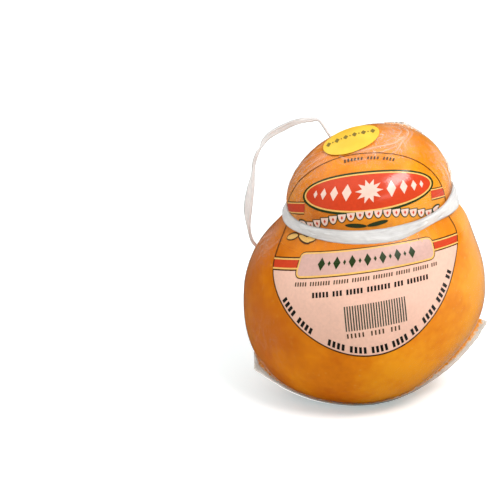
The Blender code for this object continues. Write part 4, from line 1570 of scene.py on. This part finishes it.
dot_shapes = []
cream_shapes = rosette(ROSETTE_PETALS, 5.7 * MM, 0.95 * MM, OVAL[0], OVAL[1])
for step, size in LOZENGE_STEPS:
    for side in (-1.0, 1.0):
        cream_shapes.append(flat_lozenge(size * 0.5 * MM, size * MM, OVAL[0] + side * step * MM, OVAL[1]))
for k in range(SCALLOPS):
    u, v = garland_place(2.0 * k / (SCALLOPS - 1) - 1.0)
    green_shapes.append(scallop(1.98 * MM, 3.9 * MM, u, v + 1.0 * MM))
    cream_shapes.append(scallop(1.55 * MM, 3.2 * MM, u, v + 0.7 * MM))
    dot_shapes.append(flat_lozenge(0.5 * MM, 0.85 * MM, u, v - 0.75 * MM))
for side, degrees in ((-1.0, 205.0), (1.0, -15.0)):
    u, v = garland_place(side * GARLAND_END)
    for k in range(3):
        turned = degrees + side * (k - 1) * LEAF_SPREAD
        green_shapes.append(leaf(u, v + 1.0 * MM, turned, 4.6 * MM, 1.15 * MM))
        cream_shapes.append(leaf(u + side * 0.5 * MM, v + 1.0 * MM, turned, 3.4 * MM, 0.6 * MM))
for u, v, degrees in SIDE_LEAVES:
    brown_shapes.append(leaf(u * MM, v * MM, degrees, 6.4 * MM, 1.45 * MM))
    gold_shapes.append(leaf((u + 0.35) * MM, v * MM, degrees, 5.6 * MM, 0.95 * MM))
for u, v, degrees in MIDDLE_LEAVES:
    green_shapes.append(leaf(u * MM, v * MM, degrees, 8.4 * MM, 0.9 * MM))
print(len(cream_shapes), "cream shapes,", len(green_shapes), "green shapes")

# %% [markdown]
# ### Lay the ornament on
#
# Real ink has next to no thickness. Here each ink floats a few hundredths of a millimetre above the
# film, each at its own height, so that two inks never fight for the same surface.

# %% Print the ornament
ORNAMENT = (                    # name, shapes, the ink's name and colour, and lift in mm
    ("print_red", red_shapes, "red_ink", RED_INK, 0.035),
    ("print_brown", brown_shapes, "brown_ink", BROWN_INK, 0.045),
    ("print_plate_edge", [plate_edge], "plate_edge_ink", BROWN_INK, 0.055),
    ("print_gold", gold_shapes, "gold_ink", GOLD_INK, 0.065),
    ("print_plate", [plate_fill], "plate_ink", PLATE_INK, 0.080),
    ("print_green", green_shapes, "green_ink", GREEN_INK, 0.060),
    ("print_cream", cream_shapes, "cream_ink", CREAM_INK, 0.085),
    ("print_dots", dot_shapes, "dot_ink", RED_INK, 0.100),
)
for name, shapes, ink_name, colour, lift in ORNAMENT:
    print_on_bag(shapes, name, ink(ink_name, colour), lift * MM)
print(len(ORNAMENT), "inks for the ornament")

# %% [markdown]
# ## Small print
#
# Where a label has its small print, this one has rows of short even strokes and a block of even bars,
# so nothing on it can be read. A stroke is one narrow rectangle. How many stand in a group comes from a
# seeded draw, so each run gives the same print. An array modifier would space them all alike, and the
# rows would look like a grating.

# %% Rows of strokes, straight and along the ring
rng = np.random.default_rng(7)


def row_of_strokes(left, right, level, tall, stroke, gap):
    """Upright even strokes along a straight row, in groups of three to eight after the first."""
    marks, u, left_in_group = [], left, 5
    while u < right:
        marks.append(flat_rectangle(stroke, tall, u + stroke / 2.0, level))
        left_in_group -= 1
        u += stroke + gap
        if left_in_group == 0:
            left_in_group = int(rng.integers(3, 9))
            u += 2.2 * gap
    return marks


def arc_of_strokes(start, end, radius, tall, stroke, gap):
    """The same along the ring, between two angles in degrees, each stroke standing on the ring."""
    marks, degrees, left_in_group = [], start, 4
    while degrees < end:
        a = math.radians(degrees) + stroke / 2.0 / radius
        mark = flat_rectangle(stroke, tall, 0.0, 0.0)
        marks.append(turn_and_place(mark, math.degrees(a) - 90.0, radius * math.cos(a), radius * math.sin(a)))
        left_in_group -= 1
        degrees += math.degrees((stroke + gap) / radius)
        if left_in_group == 0:
            left_in_group = int(rng.integers(3, 7))
            degrees += math.degrees(2.0 * gap / radius)
    return marks


ARC_RADIUS = 36.5 * MM
ARC_STROKE = (1.9 * MM, 0.95 * MM, 0.60 * MM)           # height, width and gap
ARCS = ((-145.0, -122.0), (-115.5, -65.0), (-61.0, -35.0))

fine_strokes = row_of_strokes(-26.0 * MM, 25.2 * MM, -16.9 * MM, 1.2 * MM, 0.48 * MM, 0.42 * MM)
fine_strokes += row_of_strokes(-9.0 * MM, 11.0 * MM, -31.8 * MM, 1.3 * MM, 0.55 * MM, 0.75 * MM)
fine_strokes += arc_of_strokes(66.0, 112.0, 34.4 * MM, 2.0 * MM, 0.85 * MM, 0.80 * MM)
bold_strokes = row_of_strokes(-19.7 * MM, 21.2 * MM, -20.1 * MM, 1.5 * MM, 0.72 * MM, 0.48 * MM)
for start, end in ARCS:
    bold_strokes += arc_of_strokes(start, end, ARC_RADIUS, *ARC_STROKE)
print(len(fine_strokes) + len(bold_strokes), "strokes")

# %% [markdown]
# ### Bars and beads
#
# The bars are all alike and evenly spaced, so they encode nothing, and a loop places them. On the plate
# stands a row of green beads, large and small in turn, made from lozenges.

# %% A block of even bars, and a row of beads on the plate
BARS = 24
BAR_LEFT = -9.4 * MM
BAR_RIGHT = 12.1 * MM
BAR_LEVEL = -27.2 * MM
BAR_SIZE = (0.46 * MM, 6.6 * MM)
BEADS = 13
BEAD_SPACING = 2.75 * MM
BEAD_SIZES = (2.1, 0.9)                                 # half heights in mm, in turn
BEAD_SLIMNESS = 0.62

bars = []
for k in range(BARS):
    u = BAR_LEFT + (BAR_RIGHT - BAR_LEFT) * (k + 0.5) / BARS
    bars.append(flat_rectangle(*BAR_SIZE, u, BAR_LEVEL))
beads = []
for k in range(BEADS):
    u = -1.2 * MM + (k - BEADS // 2) * BEAD_SPACING
    size = BEAD_SIZES[k % 2] * MM
    beads.append(flat_lozenge(BEAD_SLIMNESS * size, size, u, PLATE[1]))

SMALL_PRINT = (
    ("print_fine_strokes", fine_strokes, "grey_ink", GREY_INK, 0.05),
    ("print_bold_strokes", bold_strokes, "black_ink", BLACK_INK, 0.05),
    ("print_bars", bars, "bar_ink", BAR_INK, 0.05),
    ("print_beads", beads, "bead_ink", GREEN_INK, 0.105),
)
for name, shapes, ink_name, colour, lift in SMALL_PRINT:
    print_on_bag(shapes, name, ink(ink_name, colour), lift * MM)

# %% [markdown]
# ## Sticker
#
# The sticker is a round of yellow paper pressed onto the crown over the film. It starts as a flat disc
# above the head and is projected down onto the bag, so that it takes the crown's curve. A smooth
# modifier then takes the bag's small creases out of it, because paper is stiffer than film, and a
# solidify modifier gives it the thickness of paper.

# %% Press the sticker on
STICKER_RADIUS = 11.2 * MM
STICKER_PLACE = Vector((-2.85, -6.8, 101.3)) * MM
STICKER_ABOVE = 6.0 * MM        # where it starts from
STICKER_LIFT = 0.30 * MM
STICKER_FACING = Vector((-0.28, -0.12, 0.95)).normalized()
PAPER_THICKNESS = 0.16 * MM
STICKER_RIGHT = Vector((0.0, 1.0, 0.0)).cross(STICKER_FACING).normalized()
STICKER_UP = STICKER_FACING.cross(STICKER_RIGHT)


def press_on(piece, lift):
    """Projects a flat piece, drawn about the origin, onto the bag along the sticker's direction."""
    spots = []
    for x, y, _ in coordinates(piece):
        start = STICKER_PLACE + STICKER_RIGHT * x + STICKER_UP * y + STICKER_FACING * STICKER_ABOVE
        spots.append(film_tree.ray_cast(start, -STICKER_FACING)[0] + STICKER_FACING * lift)
    move_vertices(piece, np.array(spots))
    return piece


sticker = flat_disc(STICKER_RADIUS, STICKER_RADIUS, sides=120)
sticker.name = sticker.data.name = "sticker_paper"
press_on(sticker, STICKER_LIFT)
smooth = sticker.modifiers.new("relax", 'SMOOTH')
smooth.factor = 0.5
smooth.iterations = 12
paper = sticker.modifiers.new("paper", 'SOLIDIFY')
paper.thickness = PAPER_THICKNESS
paper.offset = 1.0
select_only(sticker)
bpy.ops.object.modifier_apply(modifier="relax")
bpy.ops.object.modifier_apply(modifier="paper")
print("sticker", len(sticker.data.polygons), "faces")

# %% [markdown]
# ### Yellow paper
#
# The sticker's paper is printed in one yellow, a little cloudy, with fine fibres that show as a slight
# relief. It has been varnished thinly, so it gets a trace of clear coat over the dull paper.

# %% Finish the sticker
PAPER_TONES = ((0.35, (0.87, 0.51, 0.018)), (0.65, (0.92, 0.60, 0.034)))


def paper_material():
    material, tree, shader = new_material("yellow_sticker_paper")
    place = add_node(tree, "ShaderNodeTexCoord").outputs["Object"]
    fibres = add_node(tree, "ShaderNodeTexNoise", {"Vector": place, "Scale": 1500.0, "Detail": 3.0})
    clouds = add_node(tree, "ShaderNodeTexNoise", {"Vector": place, "Scale": 120.0, "Detail": 2.0})
    colour = ramp(tree, clouds.outputs["Fac"], PAPER_TONES)
    bump = add_node(tree, "ShaderNodeBump",
                    {"Height": fibres.outputs["Fac"], "Strength": 0.25, "Distance": 0.00008})
    tree.links.new(colour, shader.inputs["Base Color"])
    tree.links.new(bump.outputs["Normal"], shader.inputs["Normal"])
    shader.inputs["Roughness"].default_value = 0.45
    shader.inputs["Coat Weight"].default_value = 0.06
    shader.inputs["Coat Roughness"].default_value = 0.25
    return material


finish_piece(sticker, paper_material())
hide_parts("sticker")

# %% [markdown]
# ### The sticker's lozenges
#
# A row of small dark lozenges, large and small in turn, crosses the sticker's middle. It is pressed on
# in the same way, but a little higher, so that it lies on the paper.

# %% Print the sticker
MARKS = 11
MARK_SPACING = 1.65 * MM
MARK_SIZES = (2.0, 0.7)         # half heights in mm, in turn
MARK_LEVEL = 0.6 * MM
MARK_LIFT = 0.50 * MM

marks = []
for k in range(MARKS):
    size = MARK_SIZES[k % 2] * MM
    marks.append(flat_lozenge(0.5 * size, size, (k - MARKS // 2) * MARK_SPACING, MARK_LEVEL))
sticker_marks = join(marks, "sticker_marks")
press_on(sticker_marks, MARK_LIFT)
finish_piece(sticker_marks, ink("sticker_ink", STICKER_INK, roughness=0.5))

# %% [markdown]
# ## Floor
#
# The cheese stands on white. To the eye the floor is the same white all over, and glows a little, so
# that it runs into the white room without a line. As a reflector it is dimmer on the left than on the
# right, which keeps the cheese's left side brown, and a light path node tells the two uses apart. The
# floor isn't a part of the cheese, so it is only put on the stage.

# %% A white floor
FLOOR_SEEN = (0.89, 0.87, 0.86, 1.0)
FLOOR_RETURNS = ((0.0, (0.66, 0.64, 0.60)), (0.10, (0.84, 0.82, 0.79)))     # by metres to the right
FLOOR_MIRRORED = ((0.02, (0.08, 0.08, 0.08)), (0.20, (0.55, 0.55, 0.55)))
FLOOR_GLOW = 0.42
FLOOR_GLOW_COLOUR = (0.77, 0.97, 1.0, 1.0)

bpy.ops.mesh.primitive_circle_add(vertices=64, radius=4.0, fill_type='NGON')
floor = bpy.context.object
floor.name = "floor"
floor_material, floor_tree, floor_shader = new_material("white_floor")
floor_ray = add_node(floor_tree, "ShaderNodeLightPath")
floor_x = add_node(floor_tree, "ShaderNodeSeparateXYZ",
                   {"Vector": add_node(floor_tree, "ShaderNodeTexCoord").outputs["Object"]}).outputs["X"]
mirrored = ramp(floor_tree, floor_x, FLOOR_MIRRORED)
returned = ramp(floor_tree, floor_x, FLOOR_RETURNS)
bounced = add_node(floor_tree, "ShaderNodeMix",
                   {"Factor": floor_ray.outputs["Is Glossy Ray"], "A": returned, "B": mirrored},
                   data_type='RGBA').outputs["Result"]
floor_colour = add_node(floor_tree, "ShaderNodeMix",
                        {"Factor": floor_ray.outputs["Is Camera Ray"], "A": bounced, "B": FLOOR_SEEN},
                        data_type='RGBA').outputs["Result"]
floor_tree.links.new(floor_colour, floor_shader.inputs["Base Color"])
floor_glow = add_node(floor_tree, "ShaderNodeMath",
                      {0: floor_ray.outputs["Is Camera Ray"], 1: FLOOR_GLOW}, operation='MULTIPLY')
floor_tree.links.new(floor_glow.outputs["Value"], floor_shader.inputs["Emission Strength"])
floor_shader.inputs["Emission Color"].default_value = FLOOR_GLOW_COLOUR
floor_shader.inputs["Roughness"].default_value = 0.6
floor_shader.inputs["Specular IOR Level"].default_value = 0.0
floor.data.materials.append(floor_material)
print("floor", round(floor.dimensions.x, 1), "m across")

# %% [markdown]
# ## Lights
#
# One large soft light stands to the upper right of the camera and gives the long highlights. Weak ones
# fill in from all round: two fills that light the sides but would be ugly when mirrored, so glossy
# surfaces don't see them, a low strip at the front and a rim on each side behind. A sun as wide as a
# third of the sky, nearly overhead, stands for the bright room and gives the soft shadow on the floor.

# %% Softboxes and the overhead light
AIM = Vector((0.0, 0.0, 50.0 * MM))
SOFTBOXES = (       # name, azimuth, elevation, distance, size, power, and whether it is mirrored
    ("key", 41.0, 52.0, 0.9, (0.46, 0.27), 6.9, True),
    ("low_front", 15.0, 27.0, 1.0, (0.30, 0.10), 0.4, True),
    ("right_rim", 138.0, 8.0, 1.0, (0.50, 0.40), 0.5, True),
    ("left_fill", -75.0, 15.0, 1.1, (0.60, 0.60), 2.1, False),
    ("right_fill", 92.0, 3.0, 1.0, (0.50, 0.12), 0.35, False),
    ("left_rim", -146.0, 32.0, 1.0, (0.10, 0.50), 0.2, True),
)
OVERHEAD_POWER = 1.55
OVERHEAD_WIDTH = math.radians(100.0)
OVERHEAD_LEAN = math.radians(-12.0)


def softbox(name, azimuth, elevation, distance, size, power, mirrored_too):
    """A flat light that looks at the cheese. Azimuth 0 is the camera's side, + is to the right."""
    a, e = math.radians(azimuth), math.radians(elevation)
    light = bpy.data.lights.new(name, 'AREA')
    light.shape = 'RECTANGLE'
    light.size, light.size_y = size
    light.energy = power
    lamp = bpy.data.objects.new(name, light)
    bpy.context.scene.collection.objects.link(lamp)
    away = Vector((math.sin(a) * math.cos(e), -math.cos(a) * math.cos(e), math.sin(e)))
    lamp.location = AIM + away * distance
    lamp.rotation_mode = 'QUATERNION'
    lamp.rotation_quaternion = away.to_track_quat('Z', 'Y')
    lamp.visible_glossy = mirrored_too


for values in SOFTBOXES:
    softbox(*values)

overhead = bpy.data.objects.new("overhead", bpy.data.lights.new("overhead", 'SUN'))
bpy.context.scene.collection.objects.link(overhead)
overhead.data.energy = OVERHEAD_POWER
overhead.data.angle = OVERHEAD_WIDTH
overhead.rotation_euler = (OVERHEAD_LEAN, OVERHEAD_LEAN, 0.0)

# %% [markdown]
# ## White room
#
# The world is pure white where the camera sees it. As a light it is much weaker, and in reflections
# weaker still: an even white all round would flatten the form and hide the film's highlights.

# %% The world
ROOM_LIGHT = 0.20
ROOM_MIRRORED = 0.06
ROOM_SEEN = 1.0

world = bpy.data.worlds.new("white_room")
bpy.context.scene.world = world
world.use_nodes = True
sky = world.node_tree
background = sky.nodes["Background"]
ray = add_node(sky, "ShaderNodeLightPath")
as_light = add_node(sky, "ShaderNodeMapRange",
                    {"Value": ray.outputs["Is Glossy Ray"], "To Min": ROOM_LIGHT, "To Max": ROOM_MIRRORED})
strength = add_node(sky, "ShaderNodeMapRange",
                    {"Value": ray.outputs["Is Camera Ray"], "To Min": as_light.outputs["Result"],
                     "To Max": ROOM_SEEN})
background.inputs["Color"].default_value = (1.0, 1.0, 1.0, 1.0)
sky.links.new(strength.outputs["Result"], background.inputs["Strength"])
print(world.name, "has", len(sky.nodes), "nodes")
